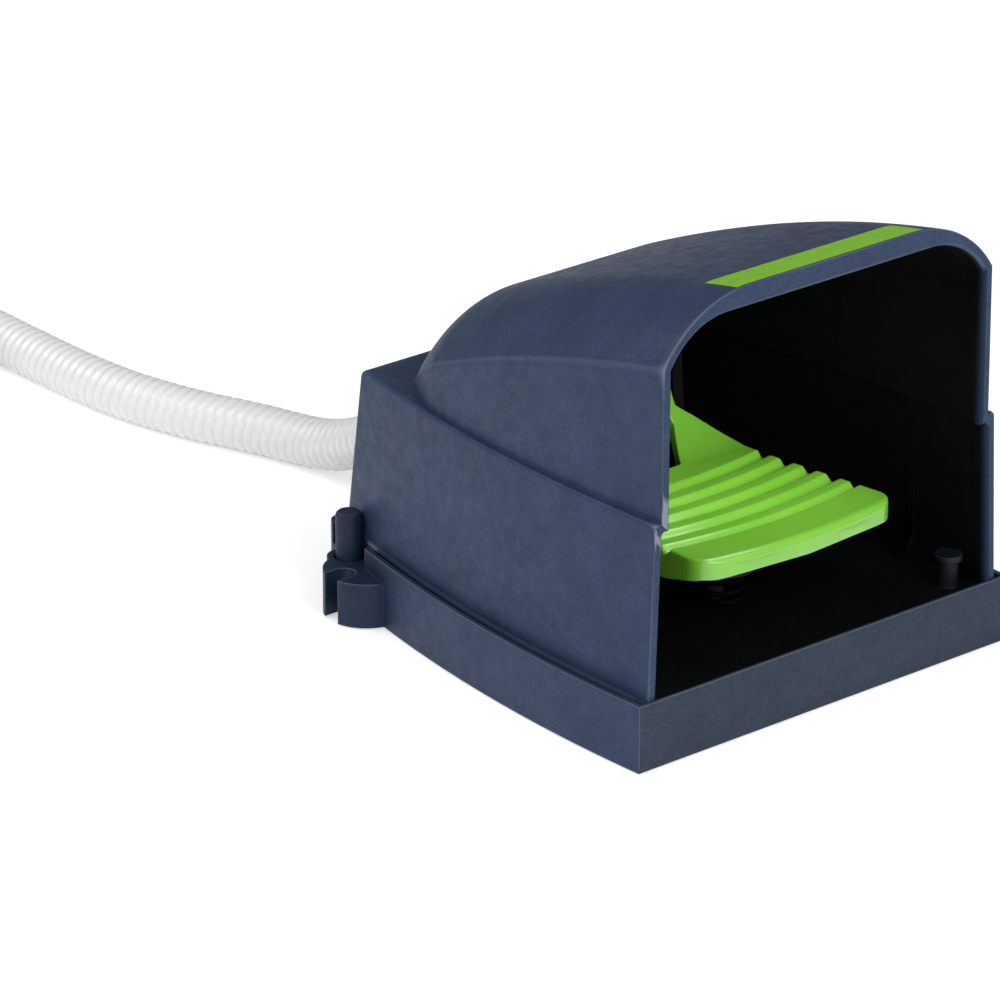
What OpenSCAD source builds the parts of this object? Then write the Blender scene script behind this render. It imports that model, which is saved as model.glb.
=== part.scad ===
// Vacuum foot valve: a spring-returned pedal under a moulded hood presses a spool valve
// that vents a vacuum hose.
// Millimetres. +Z up, the pedal opening faces -Y, the hose leaves towards +Y.
// Inside the modules y is measured from the base's front face; placed() moves that to the origin,
// which is the centre of the resting face.

/* [Base] */
// Widest width of the base
base_w = 150.8; // [140:0.2:170]
// Length of the base from front to rear
base_len = 170; // [166:1:190]
// Height of the base's rim above the floor
base_h = 21.8; // [20:0.1:26]
// Radius of the long curve of the sides, seen from above
side_r = 550; // [400:10:900]
// Distance of the widest place from the front
widest_y = 20; // [10:1:40]
// Width of the raised rim round the deck
rim_w = 1.5; // [1:0.1:3]
// Height of the rim above the deck
rim_h = 2.3; // [1:0.1:4]
// Thickness of the deck
deck_t = 3; // [2:0.1:4]
// Thickness of the skirt wall
skirt_t = 2.6; // [2:0.1:4]
// Radius of the rear corners
rear_corner_r = 6; // [3:0.5:10]
// Thickness of the bottom plate
plate_t = 2.5; // [2:0.1:4]

/* [Rubber feet] */
// Diameter of a foot
foot_d = 16; // [10:1:20]
// Thickness of a foot
foot_t = 2.2; // [1.5:0.1:3]
// How far a foot stands below the base
foot_proud = 0.5; // [0.3:0.1:1]

/* [Ears] */
// Height of the fixing ears
ear_h = 15; // [10:0.5:18]
// Radius of an ear
ear_r = 13.8; // [12:0.1:16]
// Width of the open fixing slot
slot_w = 7.4; // [5:0.1:9]
// Distance of the ears' centres from the middle
ear_x = 60; // [56:0.5:64]
// Distance of the ears' centres from the base's rear
ear_back = 26.5; // [20:0.5:32]

/* [Hood] */
// Wall thickness
wall = 3; // [2:0.1:4]
// Widest width of the hood at the deck
hood_w = 141.6; // [130:0.2:145]
// Draft of the lower sides in degrees
side_draft = 2.2; // [1:0.1:4]
// Height of the step round the lower body, at its rear
step_z = 75.4; // [70:0.2:90]
// Widest width of the dome above the step
dome_w = 132.2; // [120:0.2:138]
// Height of the dome at the front
hood_h = 143; // [130:0.5:160]
// Slope of the dome at the front in degrees
front_slope = 10; // [6:0.5:14]
// Radius of the long roof curve
roof_r = 490; // [400:10:700]
// Distance of the dome's rear foot from the base's rear
dome_back = 22.7; // [20:0.1:30]
// Radius of the roof's rear curve
turn_r = 75; // [66:1:100]
// Width of the rounded shoulder, seen from the front
shoulder_w = 33; // [24:0.5:36]
// Radius of the rounded shoulder
shoulder_r = 38.9; // [37:0.1:60]
// Lean of the rear wall in degrees
rear_lean = 8; // [4:0.5:10]
// Radius between plateau and rear wall
rear_fillet = 8; // [6:0.5:12]
// Setback of the hood from the base's front face
hood_front = 1.2; // [0.8:0.1:2]
// Depth of the thick rim round the opening
lip_d = 5.6; // [4:0.1:8]
// Thickness of that rim at the top
lip_top = 6.8; // [4:0.1:8]
// Diameter of the rear screw posts
post_d = 8.2; // [7:0.1:9]
// Height of the rear screw posts above the floor
post_top = 30; // [26:0.5:36]

/* [Pedal] */
// Width of the pedal at its front
pedal_w = 78.8; // [60:0.2:90]
// Width of the pedal at its last ridge
pedal_rear_w = 73; // [56:0.2:84]
// Distance of the pedal's front edge from the base's front face
pedal_front = 8.7; // [7:0.1:12]
// Height of the tread at its last ridge
tread_z = 51; // [50:0.1:54]
// Rise of the tread towards the front in degrees
tread_tilt = 2; // [0:0.1:4]
// Depth of the pedal's skirt
pedal_skirt = 6.4; // [5:0.1:8]
// Thickness of the pedal's skin and skirt
pedal_wall = 2.6; // [2:0.1:3.5]
// Number of ridges
ridge_count = 5; // [3:1:5]
// Ridge spacing
ridge_pitch = 9.9; // [8:0.1:10]
// Ridge height
ridge_h = 1.9; // [1:0.1:2.4]
// Width of an arm
arm_w = 4.4; // [4:0.1:6]
// Thickness of an arm
arm_t = 5; // [4:0.1:7]
// Distance of the arms' outer faces from the middle
arm_x = 25.2; // [24:0.2:26]
// How far the pedal swings down in degrees
pedal_swing = 6.5; // [4:0.1:6.5]

/* [Hinge] */
// Distance of the hinge from the base's front face
hinge_y = 112; // [108:0.5:116]
// Height of the hinge
hinge_z = 84; // [80:0.5:88]
// Diameter of the hinge pin
pin_d = 6; // [5:0.1:7]
// Wall of a pedal bush
bush_t = 1; // [0.8:0.1:1.5]
// Thickness of a hinge cheek
cheek_t = 4; // [3:0.1:5]

/* [Valve] */
// Diameter of the spool
spool_d = 9.9; // [8:0.1:10]
// Diameter of the spool's stem
stem_d = 6; // [5:0.1:6.4]
// Distance of the spool from the base's front face
spool_y = 75; // [74:0.2:76]
// Width of the valve block
block_w = 34; // [30:0.5:36]
// Height of the valve block's front part
block_top = 38; // [37:0.1:39]
// Height of the hose port
port_z = 36; // [34:0.5:38]
// Diameter of the air passages
passage_d = 7; // [5:0.1:8]

/* [Hose] */
// Outside diameter of the hose
hose_d = 17; // [14:0.5:18]
// Mid radius of the stored coil
coil_r = 90; // [85:1:102]

/* [Springs] */
// Wire of the pedal's return spring
return_wire = 1.6; // [1:0.1:2]
// Mid diameter of the return spring
return_d = 14.4; // [13:0.1:15]
// Wire of the spool's spring
spool_wire = 1; // [0.6:0.1:1.2]

/* [Clearances] */
// Running clearance of pins and stems, on the radius
run_gap = 0.05; // [0.02:0.01:0.1]
// Gap between pieces that must not touch
free_gap = 0.3; // [0.2:0.05:0.5]

/* [Hidden] */
$fn = 48;
eps = 0.01;
navy = [0.17, 0.20, 0.28];
green = [0.36, 0.68, 0.17];
brass = [0.78, 0.63, 0.32];
steel = [0.70, 0.71, 0.73];
black = [0.08, 0.08, 0.09];
clear_white = [0.90, 0.91, 0.91];

base_half = base_w / 2;
deck_z = base_h - rim_h;
cavity_top = deck_z - deck_t;
plate_top = foot_proud + plate_t;
hood_half = hood_w / 2;
dome_half = dome_w / 2;

// Screws, shared by all the self-tapping and machine screws
screw_d = 3.2;
screw_head_d = 6.4;
screw_head_h = 2.4;
screw_hole_d = screw_d + 2 * free_gap;
boss_d = 8;
hood_screw_l = 16;
frame_screw_l = 12;
plate_screw_l = 10;

// Posts where the hood's rear is screwed to the ears
post_x = 58.5;
post_y = base_len - 15.7;
ear_y = base_len - ear_back;
socket_gap = 0.7;
socket_wall = 2.1;
socket_floor = 5.5;
front_hook_y = 3.5;
front_hook_l = 9;
front_hook_t = 2.4;
front_hook_in = 1.2;
front_hook_drop = 5.2;

// Half width of a body whose sides follow the long side curve
function side_drop(y, r = side_r) = y <= widest_y ? 0 : r - sqrt(r * r - pow(y - widest_y, 2));

module placed() {
    translate([0, -base_len / 2, 0])
        children();
}

module both_sides() {
    children();
    mirror([1, 0, 0])
        children();
}

// A cylinder along X that starts at x
module x_rod(x, y, z, len, d) {
    translate([x, y, z])
        rotate([0, 90, 0])
            cylinder(d = d, h = len);
}

// A cylinder along Y that starts at y
module y_rod(y, z, len, d) {
    translate([0, y, z])
        rotate([-90, 0, 0])
            cylinder(d = d, h = len);
}

module z_rod(x, y, z, len, d) {
    translate([x, y, z])
        cylinder(d = d, h = len);
}

// A hexagonal prism along Y
module y_hex(y, z, len, across) {
    translate([0, y, z])
        rotate([-90, 0, 0])
            rotate([0, 0, 30])
                cylinder(d = across / cos(30), h = len, $fn = 6);
}

// A profile drawn in the Y-Z plane, extruded along X from x0 to x1
module side_profile(x0, x1) {
    translate([x0, 0, 0])
        rotate([90, 0, 90])
            linear_extrude(height = x1 - x0)
                children();
}

// A prism whose sides follow the long side curve
module curved_plan(half, front, rear, z0, z1, r = side_r) {
    intersection() {
        translate([-half, front, z0])
            cube([2 * half, rear - front, z1 - z0]);
        translate([half - r, widest_y, z0 - eps])
            cylinder(r = r, h = z1 - z0 + 2 * eps, $fn = 360);
        translate([r - half, widest_y, z0 - eps])
            cylinder(r = r, h = z1 - z0 + 2 * eps, $fn = 360);
    }
}

// What a rounded rear corner takes off such a prism
module corner_cut(half, rear, corner_r, z0, z1) {
    cy = rear - corner_r;
    cx = half - side_r + sqrt(pow(side_r - corner_r, 2) - pow(cy - widest_y, 2));
    away = atan2(cy - widest_y, cx - half + side_r);
    tip = corner_r * 1.2;
    translate([cx, cy, z0])
        difference() {
            linear_extrude(height = z1 - z0)
                polygon([[0, 0], [corner_r * cos(away), corner_r * sin(away)], [tip, tip], [0, tip]]);
            translate([0, 0, -eps])
                cylinder(r = corner_r, h = z1 - z0 + 2 * eps);
        }
}

// A pan-head screw that points down from its seat
module pan_screw(len) {
    cylinder(d = screw_head_d, h = screw_head_h);
    translate([0, 0, -len])
        cylinder(d = screw_d, h = len + eps);
}

// Base

plate_gap = 0.3;
plate_screw_at = [[42, 32], [38, base_len - 38]];
frame_screw_at = [[39.4, 103], [39.4, 121]];
valve_screw_at = [[12.6, spool_y - 4.8], [12.6, spool_y + 10]];
foot_at = [[58, 16], [44, base_len - 22]];
spigot_d = 18;
pillar_at = [59.8, 10.4];
pillar_d = 6.4;
pillar_h = 10.5;
pillar_cap_d = 8.6;
pillar_cap_h = 2;

module ear_outline() {
    translate([ear_x, ear_y])
        circle(r = ear_r);
    translate([post_x, post_y])
        circle(d = post_d + 2 * (socket_gap + socket_wall));
}

module base_shell() {
    color(navy)
        placed()
            difference() {
                union() {
                    difference() {
                        union() {
                            difference() {
                                curved_plan(base_half, 0, base_len, foot_proud, base_h);
                                both_sides()
                                    corner_cut(base_half, base_len, rear_corner_r, foot_proud - 1, base_h + 1);
                                curved_plan(base_half - rim_w, hood_front - 0.2, base_len - rim_w,
                                    deck_z, base_h + 1);
                            }
                            both_sides()
                                translate([0, 0, foot_proud])
                                    linear_extrude(height = ear_h - foot_proud)
                                        ear_outline();
                        }
                        difference() {
                            curved_plan(base_half - skirt_t, skirt_t, base_len - skirt_t,
                                foot_proud - 1, cavity_top);
                            both_sides()
                                corner_cut(base_half - skirt_t, base_len - skirt_t, rear_corner_r,
                                    foot_proud - 2, cavity_top + 1);
                        }
                    }
                    both_sides() {
                        z_rod(post_x, post_y, foot_proud, ear_h - foot_proud,
                            post_d + 2 * (socket_gap + socket_wall));
                        for (p = concat(plate_screw_at, frame_screw_at, valve_screw_at))
                            z_rod(p[0], p[1], plate_top, deck_z - plate_top - eps, boss_d);
                    }
                    z_rod(pillar_at[0], pillar_at[1], deck_z - eps, pillar_h, pillar_d);
                    z_rod(pillar_at[0], pillar_at[1], deck_z + pillar_h - pillar_cap_h, pillar_cap_h,
                        pillar_cap_d);
                }
                both_sides() {
                    translate([0, 0, ear_h])
                        difference() {
                            z_rod(post_x, post_y, 0, base_h, 2 * (post_y - ear_y + 0.8));
                            curved_plan(hood_half + free_gap, 0, base_len - rim_w, -1, base_h + 1);
                        }
                    z_rod(post_x, post_y, socket_floor, base_h, post_d + 2 * socket_gap);
                    z_rod(post_x, post_y, -1, base_h, screw_hole_d);
                    z_rod(post_x, post_y, foot_proud - 1, screw_head_h + 1.2, screw_head_d + 2 * free_gap);
                    translate([ear_x + slot_w * 0.6 + slot_w / 2, ear_y + 1.5, -1]) {
                        cylinder(d = slot_w, h = base_h);
                        translate([0, -slot_w / 2, 0])
                            cube([ear_r + slot_w, slot_w, base_h]);
                    }
                    translate([front_hook_x - free_gap, front_hook_y - free_gap, cavity_top - 1])
                        cube([front_hook_t + 2 * free_gap, front_hook_l + 2 * free_gap, deck_t + 2]);
                    for (p = concat(frame_screw_at, valve_screw_at))
                        z_rod(p[0], p[1], plate_top - 1, base_h, screw_d);
                    for (p = plate_screw_at)
                        z_rod(p[0], p[1], plate_top - 1, cavity_top - plate_top + 1, screw_d);
                }
                z_rod(0, spool_y, 0, base_h + 1, spigot_d + 2 * free_gap);
            }
}

module bottom_plate() {
    inset = skirt_t + plate_gap;
    color(black)
        placed()
            difference() {
                curved_plan(base_half - inset, inset, base_len - inset, foot_proud, plate_top);
                both_sides() {
                    corner_cut(base_half - inset, base_len - inset, rear_corner_r,
                        foot_proud - 1, plate_top + 1);
                    z_rod(post_x, post_y, 0, plate_top + 1,
                        post_d + 2 * (socket_gap + socket_wall + plate_gap));
                    for (p = plate_screw_at) {
                        z_rod(p[0], p[1], 0, plate_top + 1, screw_hole_d);
                        z_rod(p[0], p[1], 0, foot_proud + screw_head_h / 2, screw_head_d + 2 * free_gap);
                    }
                    for (p = foot_at)
                        z_rod(p[0], p[1], 0, foot_t, foot_d);
                }
            }
}

module bottom_screws() {
    color(steel)
        placed()
            both_sides()
                for (p = plate_screw_at)
                    translate([p[0], p[1], foot_proud + screw_head_h / 2])
                        mirror([0, 0, 1]) {
                            cylinder(d = screw_head_d, h = screw_head_h / 2);
                            translate([0, 0, -plate_screw_l])
                                cylinder(d = screw_d, h = plate_screw_l + eps);
                        }
}

module rubber_feet() {
    color(black)
        placed()
            both_sides()
                for (p = foot_at)
                    z_rod(p[0], p[1], 0, foot_t, foot_d);
}

// Hood

rear_bottom_y = base_len - 3.85;
corner_blend_r = 4;
step_fall = 0.6;
edge_r = 1.2;
dome_side_r = 620;
dome_rear_y = base_len - 65;
dome_rear_r = 70;
roof_c = [hood_front - roof_r * sin(front_slope), hood_h - roof_r * cos(front_slope)];

// The roof's rear curve touches the long curve from inside and ends on the step at the dome's rear foot
roof_foot = [base_len - dome_back, step_z];
foot_way = roof_foot - roof_c;
foot_dist = norm(foot_way);
turn_along = (pow(roof_r - turn_r, 2) - pow(turn_r, 2) + pow(foot_dist, 2)) / (2 * foot_dist);
turn_aside = sqrt(max(pow(roof_r - turn_r, 2) - pow(turn_along, 2), 0));
turn_c = roof_c + (turn_along * foot_way + turn_aside * [-foot_way[1], foot_way[0]]) / foot_dist;
turn_y = roof_c[0] + (turn_c[0] - roof_c[0]) * roof_r / (roof_r - turn_r);

// Height of the roof along the middle: a long arc, then a tighter one
function arc_z(y, c, r) = c[1] + sqrt(max(r * r - pow(y - c[0], 2), 0));
function roof_z(y) = y < turn_y ? arc_z(y, roof_c, roof_r) : arc_z(y, turn_c, turn_r);

// The lower body along the middle: level plateau, fillet, leaning rear wall, all moved inwards by inset
function rear_wall_y(z, inset = 0) = rear_bottom_y - inset / cos(rear_lean) - (z - deck_z) * tan(rear_lean);
fillet_c = [rear_wall_y(step_z - rear_fillet) - rear_fillet / cos(rear_lean), step_z - rear_fillet];
function fillet_end(inset) = fillet_c[0] + (rear_fillet - inset) * cos(rear_lean);
function step_at(y) = step_z + (fillet_c[0] - y) * tan(step_fall);
function body_z(y, inset) = y <= fillet_c[0] ? step_at(y) - inset
    : y <= fillet_end(inset) ? arc_z(y, fillet_c, rear_fillet - inset)
    : deck_z + (rear_bottom_y - inset / cos(rear_lean) - y) / tan(rear_lean);

// Half width of the lower body at a place and height, with its rear corners rounded
function corner_loss(e, r) = e >= r ? 0 : r - sqrt(r * r - pow(r - max(e, 0), 2));
function body_x(y, z, inset = 0) = hood_half - side_drop(y) - (z - deck_z) * tan(side_draft) - inset
    - corner_loss(rear_wall_y(z, inset) - y, corner_blend_r - inset);

// Half width of the dome, which closes in towards its rear
function dome_x(y) = dome_half - side_drop(y, dome_side_r)
    - (y <= dome_rear_y ? 0 : dome_rear_r - sqrt(pow(dome_rear_r, 2) - pow(min(y - dome_rear_y, 62), 2)));

// How far the rounded shoulder lies below the roof, u inwards from the dome's side
function shoulder_drop(u, w, r) = u >= w ? 0 : r - sqrt(r * r - pow(w - u, 2));

// One cross-section of the hood, right half, from below the deck to the middle,
// moved inwards by in_x and in_z
side_steps = 4;
shoulder_steps = 6;
loft_z = deck_z - 3;
function half_section(y, in_x, in_z, sh_w, sh_r) =
    let (top = body_z(y, in_x),
        edge_z = max(top - edge_r, loft_z + 1.2),
        edge_x = body_x(y, edge_z, in_x),
        foot_x = min(dome_x(y) - in_x, edge_x - 2 * edge_r),
        roof = roof_z(y) - in_z,
        span = min(sh_w, foot_x - 2))
    concat(
        [for (k = [0:side_steps]) let (z = loft_z + (edge_z - loft_z) * k / side_steps)
            [body_x(y, z, in_x), z]],
        [[edge_x - edge_r * 0.3, edge_z + (top - edge_z) * 0.7], [edge_x - edge_r, top], [foot_x, top]],
        [for (k = [0:shoulder_steps]) let (u = span * k / shoulder_steps)
            [foot_x - 0.25 - u, max(roof - shoulder_drop(u, sh_w, sh_r), top + 0.15)]],
        [[0, max(roof, top + 0.15)]]);

// The whole cross-section, right to left
function section(y, in_x, in_z, sh_w, sh_r) =
    let (h = half_section(y, in_x, in_z, sh_w, sh_r), n = len(h))
    [for (k = [0:2 * n - 2]) k < n ? [h[k][0], y, h[k][1]] : [-h[2 * n - 2 - k][0], y, h[2 * n - 2 - k][1]]];

// A closed solid from a loop of open cross-sections of equal length
module loop_solid(rows) {
    m = len(rows[0]);
    n = len(rows);
    points = [for (row = rows) for (p = row) p];
    sides = [for (i = [0:n - 1]) for (j = [0:m - 2]) for (f = [0, 1])
        let (a = i * m + j, b = ((i + 1) % n) * m + j)
        f == 0 ? [a, b + 1, b] : [a, a + 1, b + 1]];
    ends = [[for (i = [0:n - 1]) i * m], [for (i = [n - 1:-1:0]) i * m + m - 1]];
    polyhedron(points, concat(sides, ends), convexity = 10);
}

lip_side = 3.3;
front_edge = 0.6;
opening_w = 22;
opening_r = 25.2;
rear_stations = [66, 58, 51, 44, 37, 30, 24];
wall_y = concat([for (y = [14, 28, 44, 60, 76, 92]) if (y < base_len - rear_stations[0] - 6) y],
    [for (back = rear_stations) base_len - back]);

// Where the cross-sections lie, front to rear
function stations(inset) =
    let (low = rear_wall_y(loft_z + 2.4, inset), back = fillet_end(inset))
    concat(wall_y, [fillet_c[0]],
        [for (t = [0.4, 0.75, 1]) fillet_c[0] + (back - fillet_c[0]) * t],
        [for (t = [0.35, 0.7, 1]) back + (low - back) * t]);

module hood_shell() {
    outer = stations(0);
    inner = stations(wall);
    n = len(inner);
    difference() {
        loop_solid(concat(
            [section(hood_front, front_edge, front_edge, shoulder_w, shoulder_r),
                section(hood_front + front_edge / 2, front_edge / 3, front_edge / 3, shoulder_w, shoulder_r),
                section(hood_front + front_edge * 3 / 2, 0, 0, shoulder_w, shoulder_r)],
            [for (y = outer) section(y, 0, 0, shoulder_w, shoulder_r)],
            [for (k = [n - 1:-1:0]) section(inner[k], wall, wall, shoulder_w, shoulder_r)],
            [section(hood_front + lip_d + 0.2, wall, wall, shoulder_w, shoulder_r),
                section(hood_front + lip_d, lip_side, lip_top, opening_w, opening_r),
                section(hood_front + 0.9, lip_side, lip_top, opening_w, opening_r),
                section(hood_front, lip_side - 0.8, lip_top - 0.8, opening_w, opening_r)]));
        translate([-base_w, -base_len, -base_h])
            cube([2 * base_w, 3 * base_len, base_h + deck_z]);
    }
}

collar_d = 30;
collar_end = rear_wall_y(port_z) + 3.4;
collar_in = rear_wall_y(port_z + collar_d / 2, wall) - 0.3;
grommet_neck_d = 21.8;
rib_y = 34;
rib_t = 2;
rib_top = 62;
rib_foot_w = 6;
rib_foot_h = 8;
front_hook_x = body_x(front_hook_y + front_hook_l, deck_z) - wall + 0.2;

module hood() {
    color(navy)
        placed()
            difference() {
                union() {
                    hood_shell();
                    y_rod(collar_in, port_z, collar_end - collar_in, collar_d);
                    both_sides() {
                        z_rod(post_x, post_y, socket_floor + 0.1, post_top - 1 - socket_floor - 0.1, post_d);
                        translate([post_x, post_y, post_top - 1])
                            cylinder(d1 = post_d, d2 = post_d - 1.6, h = 1);
                        translate([body_x(post_y, post_top) - 1, post_y - 1.2, deck_z])
                            cube([post_x - body_x(post_y, post_top) + 1, 2.4, post_top - deck_z - 2]);
                        translate([front_hook_x, front_hook_y, deck_z - front_hook_drop])
                            cube([front_hook_t, front_hook_l, front_hook_drop + 1]);
                        translate([front_hook_x - front_hook_in, front_hook_y, deck_z - front_hook_drop])
                            cube([front_hook_in + 1, front_hook_l, front_hook_drop - deck_t - free_gap]);
                        side_rib();
                    }
                }
                y_rod(collar_in - 1, port_z, collar_end - collar_in + 2, grommet_neck_d);
                both_sides()
                    z_rod(post_x, post_y, 0, socket_floor + hood_screw_l, screw_d);
            }
}

// The stiffening rib inside each side wall, with its foot on the deck
module side_rib() {
    x_low = body_x(rib_y, deck_z) - wall;
    x_high = body_x(rib_y, rib_top) - wall;
    translate([0, rib_y + rib_t / 2, 0])
        rotate([90, 0, 0])
            linear_extrude(height = rib_t)
                polygon([[x_low - rib_foot_w, deck_z], [x_low + 1, deck_z], [x_high + 1, rib_top],
                    [x_high, rib_top], [x_low - 1.6, deck_z + rib_foot_h]]);
}

module hood_screws() {
    color(steel)
        placed()
            both_sides()
                translate([post_x, post_y, foot_proud + screw_head_h + 0.2])
                    mirror([0, 0, 1])
                        pan_screw(hood_screw_l);
}

// Hinge

cheek_in = 27.8;
cheek_out = cheek_in + cheek_t;
hinge_eye_d = 20;
frame_front = 97;
frame_rear = 127;
frame_foot_t = 2.5;
frame_foot_w = 15;
stop_bar_y = [116.5, 125.5];
stop_bar_z = [63, 68];
stop_pad_t = 3;
stop_pad_x = [arm_x - arm_w - 0.5, arm_x + 1];

module hinge_frame() {
    color(black)
        placed()
            difference() {
                union() {
                    both_sides() {
                        side_profile(cheek_in, cheek_out) {
                            polygon([[frame_front, deck_z], [frame_rear, deck_z],
                                [hinge_y + hinge_eye_d / 2 - 0.3, hinge_z],
                                [hinge_y - hinge_eye_d / 2 + 0.3, hinge_z]]);
                            translate([hinge_y, hinge_z])
                                circle(d = hinge_eye_d);
                        }
                        translate([cheek_in, frame_front, deck_z])
                            cube([cheek_t + frame_foot_w, frame_rear - frame_front, frame_foot_t]);
                    }
                    translate([-cheek_in - 1, stop_bar_y[0], stop_bar_z[0]])
                        cube([2 * cheek_in + 2, stop_bar_y[1] - stop_bar_y[0], stop_bar_z[1] - stop_bar_z[0]]);
                }
                both_sides() {
                    x_rod(cheek_in - 1, hinge_y, hinge_z, cheek_t + 2, pin_d);
                    for (p = frame_screw_at)
                        z_rod(p[0], p[1], deck_z - 1, frame_foot_t + 2, screw_hole_d);
                }
            }
}

module frame_screws() {
    color(steel)
        placed()
            both_sides()
                for (p = frame_screw_at)
                    translate([p[0], p[1], deck_z + frame_foot_t])
                        pan_screw(frame_screw_l);
}

clip_t = 0.8;
clip_gap = 0.1;
pin_over = 3;

module hinge_pin() {
    half = cheek_out + pin_over;
    color(steel)
        placed()
            difference() {
                x_rod(-half, hinge_y, hinge_z, 2 * half, pin_d);
                both_sides()
                    difference() {
                        x_rod(cheek_out + clip_gap, hinge_y, hinge_z, clip_t, pin_d + 2);
                        x_rod(cheek_out, hinge_y, hinge_z, clip_t + 1, pin_d - 1.4);
                    }
            }
}

module pin_clips() {
    color(steel)
        placed()
            both_sides()
                difference() {
                    x_rod(cheek_out + clip_gap, hinge_y, hinge_z, clip_t, pin_d + 5);
                    x_rod(cheek_out, hinge_y, hinge_z, clip_t + 1, pin_d - 1.4);
                    translate([cheek_out - 1, hinge_y - 1.6, hinge_z - pin_d - 3])
                        cube([clip_t + 3, 3.2, pin_d + 3]);
                }
}

// Pedal

pedal_half = pedal_w / 2;
pedal_rear_half = pedal_rear_w / 2;
front_bulge = 4.2;
front_corner_r = 7;
first_valley = pedal_front + 16.9;
curl_y = first_valley + ridge_count * ridge_pitch + 1.3;
curl_r = 24.4;
curl_angle = 55;
curl_end = [curl_y + curl_r * sin(curl_angle), tread_z + curl_r * (1 - cos(curl_angle))];
eye_d = 16;
bush_d = pin_d + 2 * run_gap + 2 * bush_t;
bush_flange_d = bush_d + 4;
bush_flange_t = 1;
eye_out = cheek_in - free_gap - bush_flange_t;
eye_in = arm_x - arm_w - 2;
cup_y = 47;
cup_d = 22;
cup_low = 31;
cup_wall = 1.8;
cup_top_t = 1.2;
seat_z = tread_z - 4;
press_boss_d = 11.6;
press_pad_d = 8;
press_pad_t = 2;
press_low = 46.5;
window_y = 77.9;
window_half = 8.7;
window_r = 3.6;
window_flare = 35;
side_skirt = 3.4;

function tread(y) = tread_z + (curl_y - y) * tan(tread_tilt);

// Height of the tread over its own slope, from valley to valley
ridge_points = [[0.3, -ridge_h], [0.9, -0.85 * ridge_h], [2.1, -0.2 * ridge_h], [2.8, 0],
    [6, 0], [7, -0.2 * ridge_h], [8.9, -0.9 * ridge_h]];

// The ribbed tread, seen from the side: the last ridge runs level into the neck,
// the skirt is deepest at mid length
module tread_profile(drop) {
    ridge_scale = ridge_pitch / 9.8;
    deep = [[curl_y - 4, 0], [curl_y - 16, side_skirt], [pedal_front + 21, side_skirt], [pedal_front + 6, 0],
        [pedal_front - 5, 0]];
    polygon(concat(
        [[pedal_front - 5, tread(pedal_front)], [first_valley - 1.6, tread(first_valley)]],
        [for (k = [0:ridge_count - 1]) for (p = ridge_points)
            if (k < ridge_count - 1 || p[0] < 3)
                let (y = first_valley + ridge_pitch * k + p[0] * ridge_scale) [y, tread(y) + p[1]]],
        [[curl_y + 3.6, tread(curl_y + 3.6)], [curl_y + 3.6, tread_z - 3]],
        [for (p = deep) [p[0], tread(p[0]) - drop - p[1]]]));
}

// The tread carried round the arc of its front edge, so that the ridges bow with it
front_r = (pedal_half * pedal_half + front_bulge * front_bulge) / (2 * front_bulge);
tread_turn = 20;
module bowed_tread() {
    arc_y = pedal_front + front_r;
    translate([0, arc_y, 0])
        rotate([0, 0, -90 - tread_turn])
            rotate_extrude(angle = 2 * tread_turn, $fn = 360)
                translate([arc_y, 0])
                    mirror([1, 0])
                        tread_profile(pedal_skirt);
}

// The curled neck and the arms' tops, seen from the side
module neck_profile(drop) {
    polygon(concat(
        [[curl_y - 5, tread_z - ridge_h]],
        [for (a = [10:9:curl_angle]) [curl_y + curl_r * sin(a), tread_z + curl_r * (1 - cos(a))]],
        [curl_end, [hinge_y - 2, hinge_z + eye_d / 2 - 1.5], [hinge_y + eye_d / 2 - 2, hinge_z - 1],
            [curl_end[0] + arm_t, curl_end[1] - arm_t * 0.6],
            [curl_y + curl_r * 0.5, tread_z - arm_t * 0.6], [curl_y - 1, tread_z - drop - 0.2],
            [curl_y - 5, tread_z - drop - 0.2]]));
}

// How the neck closes in: loss of half width, distance behind the start of the curl
neck_plan = [[0, -9], [-0.3, 3], [0.1, 6.3], [0.8, 8.3], [1.6, 10.3], [2.6, 12.2], [3.8, 14], [5.2, 15.7],
    [6.9, 17.3],
    [9, 18.7]];
module pedal_outline(inset) {
    corner = [pedal_half - inset - front_corner_r, pedal_front + front_bulge + inset + front_corner_r];
    right = concat(
        [for (x = [0:9.5:pedal_half - front_corner_r])
            [x, pedal_front + inset + front_r - sqrt(front_r * front_r - x * x)]],
        [for (a = [-75:25:0]) [corner[0] + front_corner_r * cos(a), corner[1] + front_corner_r * sin(a)]],
        [for (p = neck_plan) [pedal_rear_half - p[0] - inset, curl_y + p[1]]],
        [[arm_x - inset, curl_y + 20.2], [arm_x - inset, hinge_y + 30]]);
    n = len(right);
    polygon(concat(right, [for (k = [n - 1:-1:1]) [-right[k][0], right[k][1]]]));
}

module window_outline() {
    wide = arm_x - arm_w;
    side_y = window_y + window_r + (wide - window_half - window_r / cos(window_flare)) / tan(window_flare);
    right = concat(
        [for (a = [-90:11:-window_flare])
            [window_half + window_r * cos(a), window_y + window_r + window_r * sin(a)]],
        [[wide, side_y], [wide, hinge_y + 31]]);
    n = len(right);
    polygon(concat(right, [for (k = [n - 1:-1:0]) [-right[k][0], right[k][1]]]));
}

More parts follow.
